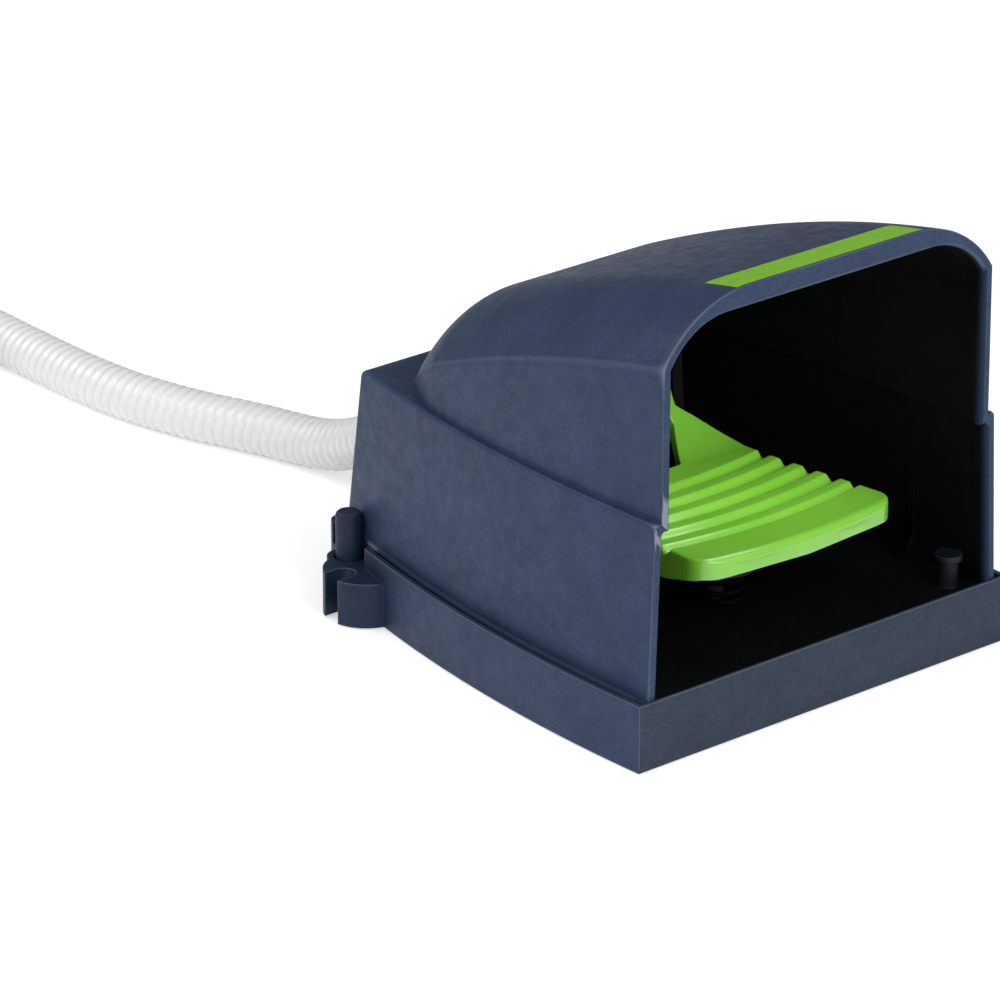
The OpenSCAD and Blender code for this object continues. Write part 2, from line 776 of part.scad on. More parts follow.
module pedal() {
    reach = pedal_half + 5;
    color(green)
        placed()
            difference() {
                union() {
                    difference() {
                        intersection() {
                            union() {
                                bowed_tread();
                                side_profile(-reach, reach)
                                    neck_profile(pedal_skirt);
                            }
                            linear_extrude(height = hood_h)
                                pedal_outline(0);
                        }
                        linear_extrude(height = hood_h)
                            window_outline();
                        intersection() {
                            side_profile(-reach, reach)
                                polygon([[0, 0], [0, tread(0) - ridge_h - pedal_wall],
                                    [curl_y - 6, tread(curl_y - 6) - ridge_h - pedal_wall], [curl_y - 6, 0]]);
                            linear_extrude(height = hood_h)
                                pedal_outline(pedal_wall);
                        }
                    }
                    z_rod(0, cup_y, seat_z, tread(cup_y) - ridge_h - 1 - seat_z, cup_d + 2);
                    z_rod(0, spool_y, press_low + 1, tread(spool_y) - ridge_h - 1 - press_low - 1,
                        press_boss_d);
                    both_sides() {
                        x_rod(eye_in, hinge_y, hinge_z, eye_out - eye_in, eye_d);
                        side_profile(arm_x - arm_w, arm_x)
                            polygon([[hinge_y, hinge_z], [hinge_y, hinge_z - eye_d / 2],
                                [stop_bar_y[0] + 1, stop_bar_z[1] + stop_pad_t + free_gap],
                                [stop_bar_y[1] - 1, stop_bar_z[1] + stop_pad_t + free_gap],
                                [stop_bar_y[1] - 1, stop_bar_z[1] + stop_pad_t + 6],
                                [hinge_y + eye_d / 2 - 1, hinge_z]]);
                    }
                }
                both_sides()
                    x_rod(eye_in - 1, hinge_y, hinge_z, eye_out - eye_in + 2, bush_d);
                z_rod(0, spool_y, press_low - 1, press_pad_t + 1, press_pad_d);
                z_rod(0, spool_y - 3, block_top, press_low + 1 - block_top, press_boss_d + 10.4);
            }
}

module pedal_bushes() {
    color(brass)
        placed()
            both_sides()
                difference() {
                    union() {
                        x_rod(eye_in, hinge_y, hinge_z, eye_out - eye_in + bush_flange_t, bush_d);
                        x_rod(eye_out, hinge_y, hinge_z, bush_flange_t, bush_flange_d);
                    }
                    x_rod(eye_in - 1, hinge_y, hinge_z, eye_out - eye_in + 3, pin_d + 2 * run_gap);
                }
}

module press_pad() {
    color(steel)
        placed()
            z_rod(0, spool_y, press_low, press_pad_t, press_pad_d);
}

module spring_cup() {
    color(black)
        placed()
            difference() {
                z_rod(0, cup_y, cup_low, seat_z - cup_low, cup_d);
                z_rod(0, cup_y, cup_low - 1, seat_z - cup_top_t - cup_low + 1, cup_d - 2 * cup_wall);
            }
}

// A coil spring of round wire with closed ends, standing on z0
wire_sides = 6;
ring_count = 12;
module coil_spring(mid_d, wire, z0, z1, turns) {
    n = turns * ring_count;
    rise = z1 - z0 - wire;
    points = [for (i = [0:n]) let (a = 360 * i / ring_count, z = z0 + wire / 2 + rise * i / n)
        for (k = [0:wire_sides - 1]) let (b = 360 * k / wire_sides + 30)
            [(mid_d + wire * cos(b)) / 2 * cos(a), (mid_d + wire * cos(b)) / 2 * sin(a),
                z + wire / 2 * sin(b)]];
    skin = [for (i = [0:n - 1]) for (k = [0:wire_sides - 1]) for (f = [0, 1])
        let (a = i * wire_sides + k, b = i * wire_sides + (k + 1) % wire_sides)
        f == 0 ? [a, b + wire_sides, a + wire_sides] : [a, b, b + wire_sides]];
    ends = [[for (k = [wire_sides - 1:-1:0]) k], [for (k = [0:wire_sides - 1]) n * wire_sides + k]];
    polyhedron(points, concat(skin, ends), convexity = 10);
}

module return_spring() {
    color(steel)
        placed()
            translate([0, cup_y, 0])
                coil_spring(return_d, return_wire, deck_z, seat_z - cup_top_t, 8);
}

// The rubber buffer inside the return spring that the spring cup lands on
stop_d = 8;
stop_y = cup_y + 1.5;
function pressed_drop(y) = (hinge_y - y) * sin(pedal_swing);
module down_stop() {
    top = seat_z - cup_top_t - pressed_drop(stop_y - stop_d / 2 - 6) - free_gap;
    color(black)
        placed()
            z_rod(0, stop_y, deck_z, top - deck_z, stop_d);
}

module up_stops() {
    color(black)
        placed()
            both_sides()
                translate([stop_pad_x[0], stop_bar_y[0] + 0.5, stop_bar_z[1]])
                    cube([stop_pad_x[1] - stop_pad_x[0], stop_bar_y[1] - stop_bar_y[0] - 1, stop_pad_t]);
}

// Valve

block_front = spool_y - 9;
block_mid = spool_y + 14.5;
block_rear = 110;
block_high = port_z + 11;
block_neck_w = 23;
bore_d = spool_d + 2 * run_gap;
bore_low = 9;
spigot_low = 6;
bonnet_d = 14;
bonnet_low = 34;
bonnet_head_h = 2.2;
port_thread_d = 13.2;
port_thread_l = 11;
cross_z = 29.5;
cross_y = 95;
filter_y = spool_y + 2;
filter_d = 8;
filter_l = 6;
valve_head_sink = screw_head_h + 0.6;
land_top = bonnet_low - free_gap;
land_low = 20;
stem_top = press_low - free_gap;
seal_z = 21.8;
seal_wire = 1.8;

module valve_body() {
    color(black)
        placed()
            difference() {
                union() {
                    translate([-block_w / 2, block_front, deck_z])
                        cube([block_w, block_mid - block_front, block_top - deck_z]);
                    translate([-block_neck_w / 2, block_mid - 1, deck_z])
                        cube([block_neck_w, block_rear - block_mid + 1, block_high - deck_z]);
                    z_rod(0, spool_y, spigot_low, deck_z - spigot_low + 1, spigot_d);
                }
                z_rod(0, spool_y, bore_low, block_top - bore_low + 1, bore_d);
                z_rod(0, spool_y, bonnet_low, block_top - bonnet_low + 1, bonnet_d);
                y_rod(spool_y, cross_z, cross_y - spool_y, passage_d);
                z_rod(0, cross_y, cross_z, port_z - cross_z, passage_d);
                y_rod(cross_y - passage_d / 2, port_z, block_rear - cross_y + passage_d, passage_d);
                y_rod(block_rear - port_thread_l, port_z, port_thread_l + 1, port_thread_d);
                x_rod(0, filter_y, cross_z, block_w, 4);
                x_rod(block_w / 2 - filter_l, filter_y, cross_z, filter_l + 1, filter_d);
                both_sides()
                    for (p = valve_screw_at) {
                        z_rod(p[0], p[1], deck_z - 1, block_top, screw_hole_d);
                        z_rod(p[0], p[1], block_top - valve_head_sink, valve_head_sink + 1,
                            screw_head_d + 2 * free_gap);
                    }
            }
}

module valve_bonnet() {
    color(brass)
        placed()
            difference() {
                union() {
                    z_rod(0, spool_y, bonnet_low, block_top - bonnet_low, bonnet_d);
                    translate([0, spool_y, block_top])
                        cylinder(d = 17 / cos(30), h = bonnet_head_h, $fn = 6);
                }
                z_rod(0, spool_y, bonnet_low - 1, block_top, stem_d + 2 * run_gap);
                z_rod(0, spool_y, block_top - 1, 1.8, stem_d + 3.6);
            }
}

module stem_seal() {
    color(black)
        placed()
            translate([0, spool_y, block_top - 0.1])
                rotate_extrude()
                    translate([stem_d / 2 + 0.9 + run_gap, 0])
                        circle(d = 1.7, $fn = 24);
}

module spool() {
    color(steel)
        placed()
            difference() {
                union() {
                    z_rod(0, spool_y, land_low, land_top - land_low, spool_d);
                    z_rod(0, spool_y, land_top - 1, stem_top - land_top + 0.2, stem_d);
                    translate([0, spool_y, stem_top - 0.8])
                        cylinder(d1 = stem_d, d2 = stem_d - 1.6, h = 0.8);
                }
                translate([0, spool_y, seal_z - seal_wire / 2 - 0.1])
                    difference() {
                        cylinder(d = spool_d + 2, h = seal_wire + 0.2);
                        translate([0, 0, -1])
                            cylinder(d = bore_d - 2 * seal_wire, h = seal_wire + 3);
                    }
            }
}

module spool_seal() {
    color(black)
        placed()
            translate([0, spool_y, seal_z])
                rotate_extrude()
                    translate([(bore_d - seal_wire) / 2 - 0.03, 0])
                        circle(d = seal_wire - 0.06, $fn = 24);
}

module valve_spring() {
    color(steel)
        placed()
            translate([0, spool_y, 0])
                coil_spring(spool_d - spool_wire - 1.6, spool_wire, bore_low, land_low, 5);
}

module valve_screws() {
    color(steel)
        placed()
            both_sides()
                for (p = valve_screw_at)
                    translate([p[0], p[1], block_top - valve_head_sink])
                        pan_screw(27);
}

module vent_filter() {
    color(brass)
        placed()
            x_rod(block_w / 2 - filter_l, filter_y, cross_z, filter_l, filter_d);
}

// Hose fittings

connector_hex_l = 6;
connector_hex = 19;
nut_y = block_rear + connector_hex_l + 1;
nut_l = 17;
nut_d = 22;
stem_out_d = 12;
hose_start_y = nut_y + nut_l;

module hose_connector() {
    color(brass)
        placed()
            difference() {
                union() {
                    y_rod(block_rear - port_thread_l, port_z, port_thread_l + 1, port_thread_d);
                    y_hex(block_rear, port_z, connector_hex_l, connector_hex);
                    y_rod(block_rear, port_z, hose_start_y - block_rear, stem_out_d);
                }
                y_rod(block_rear - 20, port_z, hose_start_y, passage_d);
            }
}

module hose_nut() {
    color(brass)
        placed()
            difference() {
                union() {
                    y_hex(nut_y, port_z, nut_l * 0.55, nut_d * cos(30));
                    y_rod(nut_y + nut_l * 0.5, port_z, nut_l * 0.5, hose_d + 2);
                }
                y_rod(nut_y - 1, port_z, nut_l + 2, stem_out_d);
            }
}

grommet_flange_d = 27;
grommet_flange_t = 2;

module hose_grommet() {
    start = collar_in - grommet_flange_t;
    length = collar_end - collar_in + 2 * grommet_flange_t;
    color(black)
        placed()
            difference() {
                union() {
                    y_rod(start, port_z, length, grommet_neck_d);
                    y_rod(start, port_z, grommet_flange_t, grommet_flange_d);
                    y_rod(collar_end, port_z, grommet_flange_t, grommet_flange_d);
                }
                y_rod(start - 1, port_z, length + 2, hose_d + 2 * free_gap);
            }
}

// Hose, in the part's own frame: the lead, then the coil that the rest is stored in

hose_route = [
    [0, 49, 36], [0, 65, 36], [0, 81, 36], [0, 92.5, 35.1], [0.3, 104, 32.6],
    [0.6, 115, 28.3], [1, 126, 22.2], [1.3, 137, 16.2], [1.2, 148, 11.9], [0.4, 159, 9.4],
    [-1.5, 170, 8.6], [-4.4, 181, 8.5], [-8, 191, 8.5], [-12.6, 204, 8.5], [-16.2, 217, 8.5],
    [-18.8, 230, 8.5], [-20.4, 243, 8.5], [-21, 257, 8.5], [-21, 272, 8.5], [-20.6, 290, 8.5],
    [-20, 310, 8.5], [-19.4, 334, 8.8], [-19, 358, 9.5], [-19, 376.5, 9.5]];
hose_sides = 10;
tie_t = 1;
coil_lift = tie_t;
coil_at = [hose_route[len(hose_route) - 1][0] - coil_r - hose_d / 2, hose_route[len(hose_route) - 1][1]];
coil_from = 240;
coil_end = 150;
layer_rise = hose_d * sin(60) + 1;

function unit(v) = v / norm(v);
function heading(i) = unit(hose_route[min(i + 1, len(hose_route) - 1)] - hose_route[max(i - 1, 0)]);

module hose_lead() {
    n = len(hose_route);
    points = [for (i = [0:n - 1]) let (t = heading(i), side = unit(cross(t, [0, 0, 1])), up = cross(side, t))
        for (k = [0:hose_sides - 1]) let (a = 360 * k / hose_sides - 90)
            hose_route[i] + hose_d / 2 * (cos(a) * side + sin(a) * up)];
    skin = [for (i = [0:n - 2]) for (k = [0:hose_sides - 1]) for (f = [0, 1])
        let (a = i * hose_sides + k, b = i * hose_sides + (k + 1) % hose_sides)
        f == 0 ? [a, b + hose_sides, a + hose_sides] : [a, b, b + hose_sides]];
    ends = [[for (k = [hose_sides - 1:-1:0]) k], [for (k = [0:hose_sides - 1]) (n - 1) * hose_sides + k]];
    color(clear_white)
        polyhedron(points, concat(skin, ends), convexity = 10);
}

module turn(r, z, grow = 0) {
    translate([r, z])
        circle(d = hose_d + 2 * grow);
}

module hose_coil() {
    low = coil_lift + hose_d / 2;
    color(clear_white)
        translate([coil_at[0], coil_at[1], 0]) {
            rotate_extrude($fn = 96) {
                turn(coil_r - hose_d / 2, low);
                turn(coil_r + hose_d / 2, low);
                translate([coil_r - hose_d / 2, coil_lift])
                    square([hose_d, hose_d]);
            }
            rotate([0, 0, coil_from])
                rotate_extrude(angle = coil_end + 360 - coil_from, $fn = 96)
                    turn(coil_r, low + layer_rise);
        }
}

tie_at = [30, 100];
tie_turn = 10;
tie_gap = 0.16;
module hose_ties() {
    low = coil_lift + hose_d / 2;
    color(black)
        translate([coil_at[0], coil_at[1], 0])
            for (a = tie_at)
                rotate([0, 0, a])
                    rotate_extrude(angle = tie_turn, $fn = 96)
                        difference() {
                            hull() {
                                turn(coil_r - hose_d / 2, low, tie_t, $fn = 24);
                                turn(coil_r + hose_d / 2, low, tie_t, $fn = 24);
                                turn(coil_r, low + layer_rise, tie_t, $fn = 24);
                            }
                            hull() {
                                turn(coil_r - hose_d / 2, low, tie_gap, $fn = 24);
                                turn(coil_r + hose_d / 2, low, tie_gap, $fn = 24);
                                turn(coil_r, low + layer_rise, tie_gap, $fn = 24);
                            }
                        }
}

// The quick-coupling nipple on the hose's end, lying on the coil
coupling_sleeve_l = 20;
coupling_hex_l = 8;
coupling_nose_l = 17;
coupling_nose_d = 11;
module hose_coupling() {
    color(brass)
        translate([coil_at[0], coil_at[1], coil_lift + hose_d / 2 + layer_rise])
            rotate([0, 0, coil_end])
                translate([coil_r, 0, 0])
                    rotate([-90, 0, 0])
                        difference() {
                            union() {
                                cylinder(d = hose_d + 2, h = coupling_sleeve_l);
                                translate([0, 0, coupling_sleeve_l])
                                    cylinder(d = hose_d + 1, h = coupling_hex_l, $fn = 6);
                                translate([0, 0, coupling_sleeve_l + coupling_hex_l - eps])
                                    cylinder(d = coupling_nose_d, h = coupling_nose_l);
                            }
                            translate([0, 0, coupling_sleeve_l])
                                cylinder(d = passage_d, h = coupling_hex_l + coupling_nose_l + 1);
                            translate([0, 0, coupling_sleeve_l + coupling_hex_l + 6])
                                difference() {
                                    cylinder(d = coupling_nose_d + 2, h = 3);
                                    translate([0, 0, -1])
                                        cylinder(d = coupling_nose_d - 2, h = 5);
                                }
                        }
}

base_shell();
bottom_plate();
bottom_screws();
rubber_feet();
hood();
hood_screws();
hinge_frame();
frame_screws();
hinge_pin();
pin_clips();
pedal();
pedal_bushes();
press_pad();
spring_cup();
return_spring();
down_stop();
up_stops();
valve_body();
valve_bonnet();
stem_seal();
spool();
spool_seal();
valve_spring();
valve_screws();
vent_filter();
hose_connector();
hose_nut();
hose_grommet();
hose_lead();
hose_coil();
hose_ties();
hose_coupling();
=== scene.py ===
import bmesh
import bpy
import numpy as np
from mathutils import Matrix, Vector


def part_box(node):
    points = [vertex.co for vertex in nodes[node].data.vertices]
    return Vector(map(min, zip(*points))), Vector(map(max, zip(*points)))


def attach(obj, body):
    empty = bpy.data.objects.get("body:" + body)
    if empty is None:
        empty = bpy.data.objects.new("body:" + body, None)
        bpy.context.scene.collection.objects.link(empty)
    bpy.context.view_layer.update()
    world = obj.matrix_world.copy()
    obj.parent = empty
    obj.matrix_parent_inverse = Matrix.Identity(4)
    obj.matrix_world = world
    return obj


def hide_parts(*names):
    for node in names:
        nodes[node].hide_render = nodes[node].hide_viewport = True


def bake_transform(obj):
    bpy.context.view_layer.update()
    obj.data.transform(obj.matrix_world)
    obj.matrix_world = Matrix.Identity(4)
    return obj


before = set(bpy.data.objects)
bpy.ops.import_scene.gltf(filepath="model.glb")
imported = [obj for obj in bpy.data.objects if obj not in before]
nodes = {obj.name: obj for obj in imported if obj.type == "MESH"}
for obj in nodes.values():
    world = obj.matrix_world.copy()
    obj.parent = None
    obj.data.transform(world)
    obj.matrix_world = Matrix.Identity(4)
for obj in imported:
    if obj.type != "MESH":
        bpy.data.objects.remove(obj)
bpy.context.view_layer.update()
scene = bpy.context.scene
scene.view_settings.view_transform = "Standard"


# Camera.
# A long lens from the front left, a little above the hood, as a catalogue picture is taken.
camera_at = np.array([-1.1894, -1.3315, 0.7867])
camera_back = np.array([-0.598, -0.7025, 0.386])
camera_back = camera_back / np.linalg.norm(camera_back)
camera_right = np.cross([0.0, 0.0, 1.0], camera_back)
camera_right = camera_right / np.linalg.norm(camera_right)
camera_up = np.cross(camera_back, camera_right)
lens = bpy.data.cameras.new("camera")
lens.sensor_width = 36.0
lens.lens = 227.39
lens.clip_end = 50.0
camera = bpy.data.objects.new("camera", lens)
turn = np.eye(4)
turn[:3, 0] = camera_right
turn[:3, 1] = camera_up
turn[:3, 2] = camera_back
turn[:3, 3] = camera_at
camera.matrix_world = Matrix(turn.tolist())
scene.collection.objects.link(camera)
scene.camera = camera


# Hose.
# Milky ribbed vacuum hose of soft PVC, 17 mm outside, extruded with a stiff helix in its wall.
# It is clamped on the valve's connector and leaves the hood low at the rear; its spare length is a tied coil.
mm = 0.001
hose_d = 0.017
rib_pitch = 0.0038
rib_depth = 0.00055
groove_share = 0.3
route_step, ring_gap = 0.001, 0.00078
hose_sides = 24
hose_lead_points = mm * np.array([
    [0, 49, 36], [0, 65, 36], [0, 81, 36], [0, 92.5, 35.1], [0.3, 104, 32.6], [0.6, 115, 28.3],
    [1, 126, 22.2], [1.3, 137, 16.2], [1.2, 148, 11.9], [0.4, 159, 9.4], [-1.5, 170, 8.6],
    [-4.4, 181, 8.5], [-8, 191, 8.5], [-12.6, 204, 8.5], [-16.2, 217, 8.5], [-18.8, 230, 8.5],
    [-20.4, 243, 8.5], [-21, 257, 8.5], [-21, 272, 8.5], [-20.6, 290, 8.5], [-20, 310, 8.5],
    [-19.4, 334, 8.8], [-19, 358, 9.5], [-19, 376.5, 9.5]])
coil_middle = np.array([-0.1175, 0.3765])
lane_outer, lane_inner, lane_top = 0.0985, 0.0815, 0.090
lane_low, lane_rise, hump_height = 0.0095, 0.01572, 0.0016
coil_degrees = 870.0
inward_from, inward_over = 230.0, 120.0
climb_from, climb_over = 540.0, 80.0
outward_from, outward_over = 600.0, 100.0
hump_from, hump_over = 620.0, 100.0


def eased(t):
    """A smooth step from 0 to 1: 3 t squared less 2 t cubed, held at its ends."""
    t = np.clip(t, 0.0, 1.0)
    return t * t * (3.0 - 2.0 * t)


def smooth_route(points, step):
    """Points step metres apart on cubic spans through the given ones, with slopes from their neighbours."""
    gap = np.linalg.norm(np.diff(points, axis=0), axis=1)
    at = np.concatenate([[0.0], np.cumsum(gap)])
    slope = np.gradient(points, at, axis=0)
    s = np.linspace(0.0, at[-1], int(at[-1] / step) + 1)
    k = np.clip(np.searchsorted(at, s, side="right") - 1, 0, len(gap) - 1)
    h = gap[k][:, None]
    t = ((s - at[k]) / gap[k])[:, None]
    return ((2 * t**3 - 3 * t**2 + 1) * points[k] + (t**3 - 2 * t**2 + t) * h * slope[k]
            + (3 * t**2 - 2 * t**3) * points[k + 1] + (t**3 - t**2) * h * slope[k + 1])


def coiled_route(step):
    """The coil: an outer turn, an inner turn beside it, then one that climbs into the groove on top."""
    a = np.arange(0.0, coil_degrees, np.degrees(step / lane_top))
    inward = (lane_outer - lane_inner) * eased((a - inward_from) / inward_over)
    outward = (lane_top - lane_inner) * eased((a - outward_from) / outward_over)
    r = lane_outer - inward + outward
    hump = hump_height * np.sin(np.pi * np.clip((a - hump_from) / hump_over, 0, 1)) ** 2
    z = lane_low + lane_rise * eased((a - climb_from) / climb_over) + hump
    turn_a = np.radians(a)
    return np.stack([coil_middle[0] + r * np.cos(turn_a), coil_middle[1] + r * np.sin(turn_a), z], axis=1)


def evenly(points, step):
    """The same line with its points spaced evenly, step metres apart."""
    at = np.concatenate([[0.0], np.cumsum(np.linalg.norm(np.diff(points, axis=0), axis=1))])
    s = np.linspace(0.0, at[-1], int(round(at[-1] / step)) + 1)
    return np.stack([np.interp(s, at, points[:, k]) for k in range(3)], axis=1), s


def grid_faces(rows, cols, wrap_rows=False, wrap_cols=False):
    """Quads of a grid of points, (i, j) with its next row and column; a wrapped way closes on itself."""
    row_count = rows if wrap_rows else rows - 1
    col_count = cols if wrap_cols else cols - 1
    i, j = np.meshgrid(np.arange(row_count), np.arange(col_count), indexing="ij")
    i_next, j_next = (i + 1) % rows, (j + 1) % cols
    corners = [i * cols + j, i * cols + j_next, i_next * cols + j_next, i_next * cols + j]
    return np.stack(corners, axis=-1).reshape(-1, 4)


def facing_out(points, quads):
    """The quads turned so that the closed surface holds a positive volume, a sum of corner products."""
    a, b, c, d = (points[quads[:, k]] for k in range(4))
    volume = np.sum(a * np.cross(b, c)) + np.sum(a * np.cross(c, d))
    return quads if volume > 0 else quads[:, ::-1]


def moulded(name, surfaces, material, crease=38.0):
    """One piece from closed surfaces, each its points and quads; seams merge and sharp edges stay crisp."""
    merge_gap, sliver = 1e-6, 1e-7
    starts = np.cumsum([0] + [len(points) for points, _ in surfaces])
    all_points = np.concatenate([points for points, _ in surfaces])
    all_quads = np.concatenate([facing_out(p, q) + start for (p, q), start in zip(surfaces, starts)])
    mesh = bpy.data.meshes.new(name)
    mesh.from_pydata(all_points, [], all_quads)
    shape = bmesh.new()
    shape.from_mesh(mesh)
    bmesh.ops.remove_doubles(shape, verts=shape.verts, dist=merge_gap)
    bmesh.ops.dissolve_degenerate(shape, edges=shape.edges, dist=sliver)
    shape.to_mesh(mesh)
    shape.free()
    mesh.shade_smooth()
    mesh.set_sharp_from_angle(angle=np.radians(crease))
    mesh.materials.append(material)
    piece = bpy.data.objects.new(name, mesh)
    scene.collection.objects.link(piece)
    return piece


def tube(line, radius, sides):
    """Rings about a line: its side and up vectors times radius * (cos a, sin a), with a pole at each end."""
    heading = np.gradient(line, axis=0)
    heading = heading / np.linalg.norm(heading, axis=1)[:, None]
    side = np.cross(heading, [0.0, 0.0, 1.0])
    side = side / np.linalg.norm(side, axis=1)[:, None]
    up = np.cross(side, heading)
    a = 2 * np.pi * np.arange(sides) / sides
    r = np.broadcast_to(radius, (len(line), sides))[:, :, None]
    round_side = np.cos(a)[None, :, None] * side[:, None, :]
    round_up = np.sin(a)[None, :, None] * up[:, None, :]
    rings = line[:, None, :] + r * (round_side + round_up)
    first = np.broadcast_to(line[:1, None, :], (1, sides, 3))
    last = np.broadcast_to(line[-1:, None, :], (1, sides, 3))
    rings = np.concatenate([first, rings, last])
    return rings.reshape(-1, 3), grid_faces(len(rings), sides, wrap_cols=True)


def finish_nodes(name):
    """A new material with its shader, its node list and its links."""
    material = bpy.data.materials.new(name)
    material.use_nodes = True
    tree = material.node_tree
    return material, tree.nodes["Principled BSDF"], tree.nodes, tree.links


def noise(tree_nodes, links, scale, detail=3.0, rough=0.55):
    """Noise on the piece's own coordinates, scale cells a metre."""
    place = tree_nodes.new("ShaderNodeTexCoord")
    texture = tree_nodes.new("ShaderNodeTexNoise")
    texture.inputs["Scale"].default_value = scale
    texture.inputs["Detail"].default_value = detail
    texture.inputs["Roughness"].default_value = rough
    links.new(place.outputs["Object"], texture.inputs["Vector"])
    return texture.outputs["Fac"]


def ramp(tree_nodes, links, value, low, high, start=0.3, end=0.7):
    """A colour, or a grey for a plain number, between low and high as value goes from start to end."""
    blend = tree_nodes.new("ShaderNodeValToRGB")
    blend.color_ramp.elements[0].position = start
    blend.color_ramp.elements[1].position = end
    blend.color_ramp.elements[0].color = (*low, 1.0) if np.ndim(low) else (low, low, low, 1.0)
    blend.color_ramp.elements[1].color = (*high, 1.0) if np.ndim(high) else (high, high, high, 1.0)
    links.new(value, blend.inputs["Fac"])
    return blend.outputs["Color"]


def bump(tree_nodes, links, shader, height, strength, distance):
    """Relief of that height in metres on the shader's normal."""
    relief = tree_nodes.new("ShaderNodeBump")
    relief.inputs["Strength"].default_value = strength
    relief.inputs["Distance"].default_value = distance
    links.new(height, relief.inputs["Height"])
    links.new(relief.outputs["Normal"], shader.inputs["Normal"])
    return relief


def mottled(shader, socket, scale, low, high, detail=3.0, start=0.3, end=0.7):
    """Noise of that scale, between two colours or two numbers, on one of the shader's sockets."""
    tree = shader.id_data
    spread = noise(tree.nodes, tree.links, scale, detail)
    tree.links.new(ramp(tree.nodes, tree.links, spread, low, high, start, end), shader.inputs[socket])


lead_line = smooth_route(hose_lead_points, route_step)[:-1]
hose_line, hose_along = evenly(np.concatenate([lead_line, coiled_route(route_step)]), ring_gap)
wall_phase = hose_along[:, None] / rib_pitch - np.arange(hose_sides)[None, :] / hose_sides
groove_away = np.abs(np.mod(wall_phase, 1.0) - 0.5)
rib_wave = eased(groove_away / groove_share)
hose_radius = hose_d / 2 - rib_depth * (1 - rib_wave)
hose_points, hose_quads = tube(hose_line, hose_radius, hose_sides)

milky_pvc, shader, tree_nodes, links = finish_nodes("milky_pvc")
rib_tone = tree_nodes.new("ShaderNodeAttribute")
rib_tone.attribute_name = "rib"
groove_white, rib_white = (0.86, 0.875, 0.88), (0.95, 0.955, 0.96)
hose_tone = ramp(tree_nodes, links, rib_tone.outputs["Fac"], groove_white, rib_white, start=0.0, end=0.75)
links.new(hose_tone, shader.inputs["Base Color"])
mottled(shader, "Roughness", 160.0, 0.2, 0.34)
bump(tree_nodes, links, shader, noise(tree_nodes, links, 420.0), 0.08, 0.0004)
shader.inputs["Subsurface Weight"].default_value = 0.35
shader.inputs["Subsurface Radius"].default_value = (0.9, 1.0, 1.0)
shader.inputs["Subsurface Scale"].default_value = 0.003
shader.inputs["Coat Weight"].default_value = 0.25
shader.inputs["Coat Roughness"].default_value = 0.15

hose = moulded("ribbed_hose", [(hose_points, hose_quads)], milky_pvc, crease=75.0)
rib_values = hose.data.attributes.new("rib", "FLOAT", "POINT")
ring_of_point = np.concatenate([[1.0], rib_wave.reshape(-1), [1.0]])
rib_values.data.foreach_set("value", np.resize(ring_of_point, len(hose.data.vertices)).astype(np.float32))
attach(hose, "base")
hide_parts("hose_lead", "hose_coil")


# Hose ties.
# Two woven hook-and-loop straps round the three turns of the coil, wrapped by hand.
strap_black, shader, tree_nodes, links = finish_nodes("strap_black")
weave = tree_nodes.new("ShaderNodeTexWave")
weave.inputs["Scale"].default_value = 420.0
weave.inputs["Distortion"].default_value = 1.5
place = tree_nodes.new("ShaderNodeTexCoord")
links.new(place.outputs["Object"], weave.inputs["Vector"])
strap_dark, strap_light = (0.010, 0.010, 0.011), (0.030, 0.030, 0.032)
strap_tone = ramp(tree_nodes, links, weave.outputs["Fac"], strap_dark, strap_light)
links.new(strap_tone, shader.inputs["Base Color"])
bump(tree_nodes, links, shader, weave.outputs["Fac"], 0.5, 0.0003)
shader.inputs["Roughness"].default_value = 0.9
shader.inputs["Sheen Weight"].default_value = 0.3


def dressed(name, material):
    """A CAD node in a finish of its own."""
    nodes[name].data.materials.clear()
    nodes[name].data.materials.append(material)


dressed("hose_ties", strap_black)


# Hose connector, clamp nut and end nipple.
# Turned from brass bar, bright, with faint turning lines; the nut clamps the hose on the connector's barb.
turned_brass, shader, tree_nodes, links = finish_nodes("turned_brass")
mottled(shader, "Base Color", 60.0, (0.50, 0.34, 0.12), (0.66, 0.47, 0.19))
mottled(shader, "Roughness", 300.0, 0.22, 0.38)
turning = tree_nodes.new("ShaderNodeTexWave")
turning.bands_direction = "Y"
turning.inputs["Scale"].default_value = 900.0
place = tree_nodes.new("ShaderNodeTexCoord")
links.new(place.outputs["Object"], turning.inputs["Vector"])
bump(tree_nodes, links, shader, turning.outputs["Fac"], 0.08, 0.0001)
shader.inputs["Metallic"].default_value = 1.0
for name in ("hose_connector", "hose_nut", "hose_coupling"):
    dressed(name, turned_brass)


# Floor and light.
# A pale studio floor under five large soft boxes, and a small weak lamp in the mouth that lights the tread.
# The floor and the world are white to the camera; the floor keeps the shadow.
floor_half = 6.0
floor_mesh = bpy.data.meshes.new("floor")
floor_corners = floor_half * np.array([[-1, -1, 0], [1, -1, 0], [1, 1, 0], [-1, 1, 0]])
floor_mesh.from_pydata(floor_corners, [], [[0, 1, 2, 3]])
floor = bpy.data.objects.new("floor", floor_mesh)
scene.collection.objects.link(floor)
pale_floor, shader, tree_nodes, links = finish_nodes("pale_floor")
shader.inputs["Base Color"].default_value = (0.95, 0.95, 0.95, 1.0)
shader.inputs["Roughness"].default_value = 0.9
shader.inputs["Specular IOR Level"].default_value = 0.1
shader.inputs["Emission Color"].default_value = (1.0, 1.0, 1.0, 1.0)
floor_ray = tree_nodes.new("ShaderNodeLightPath").outputs
floor_glow = 0.47


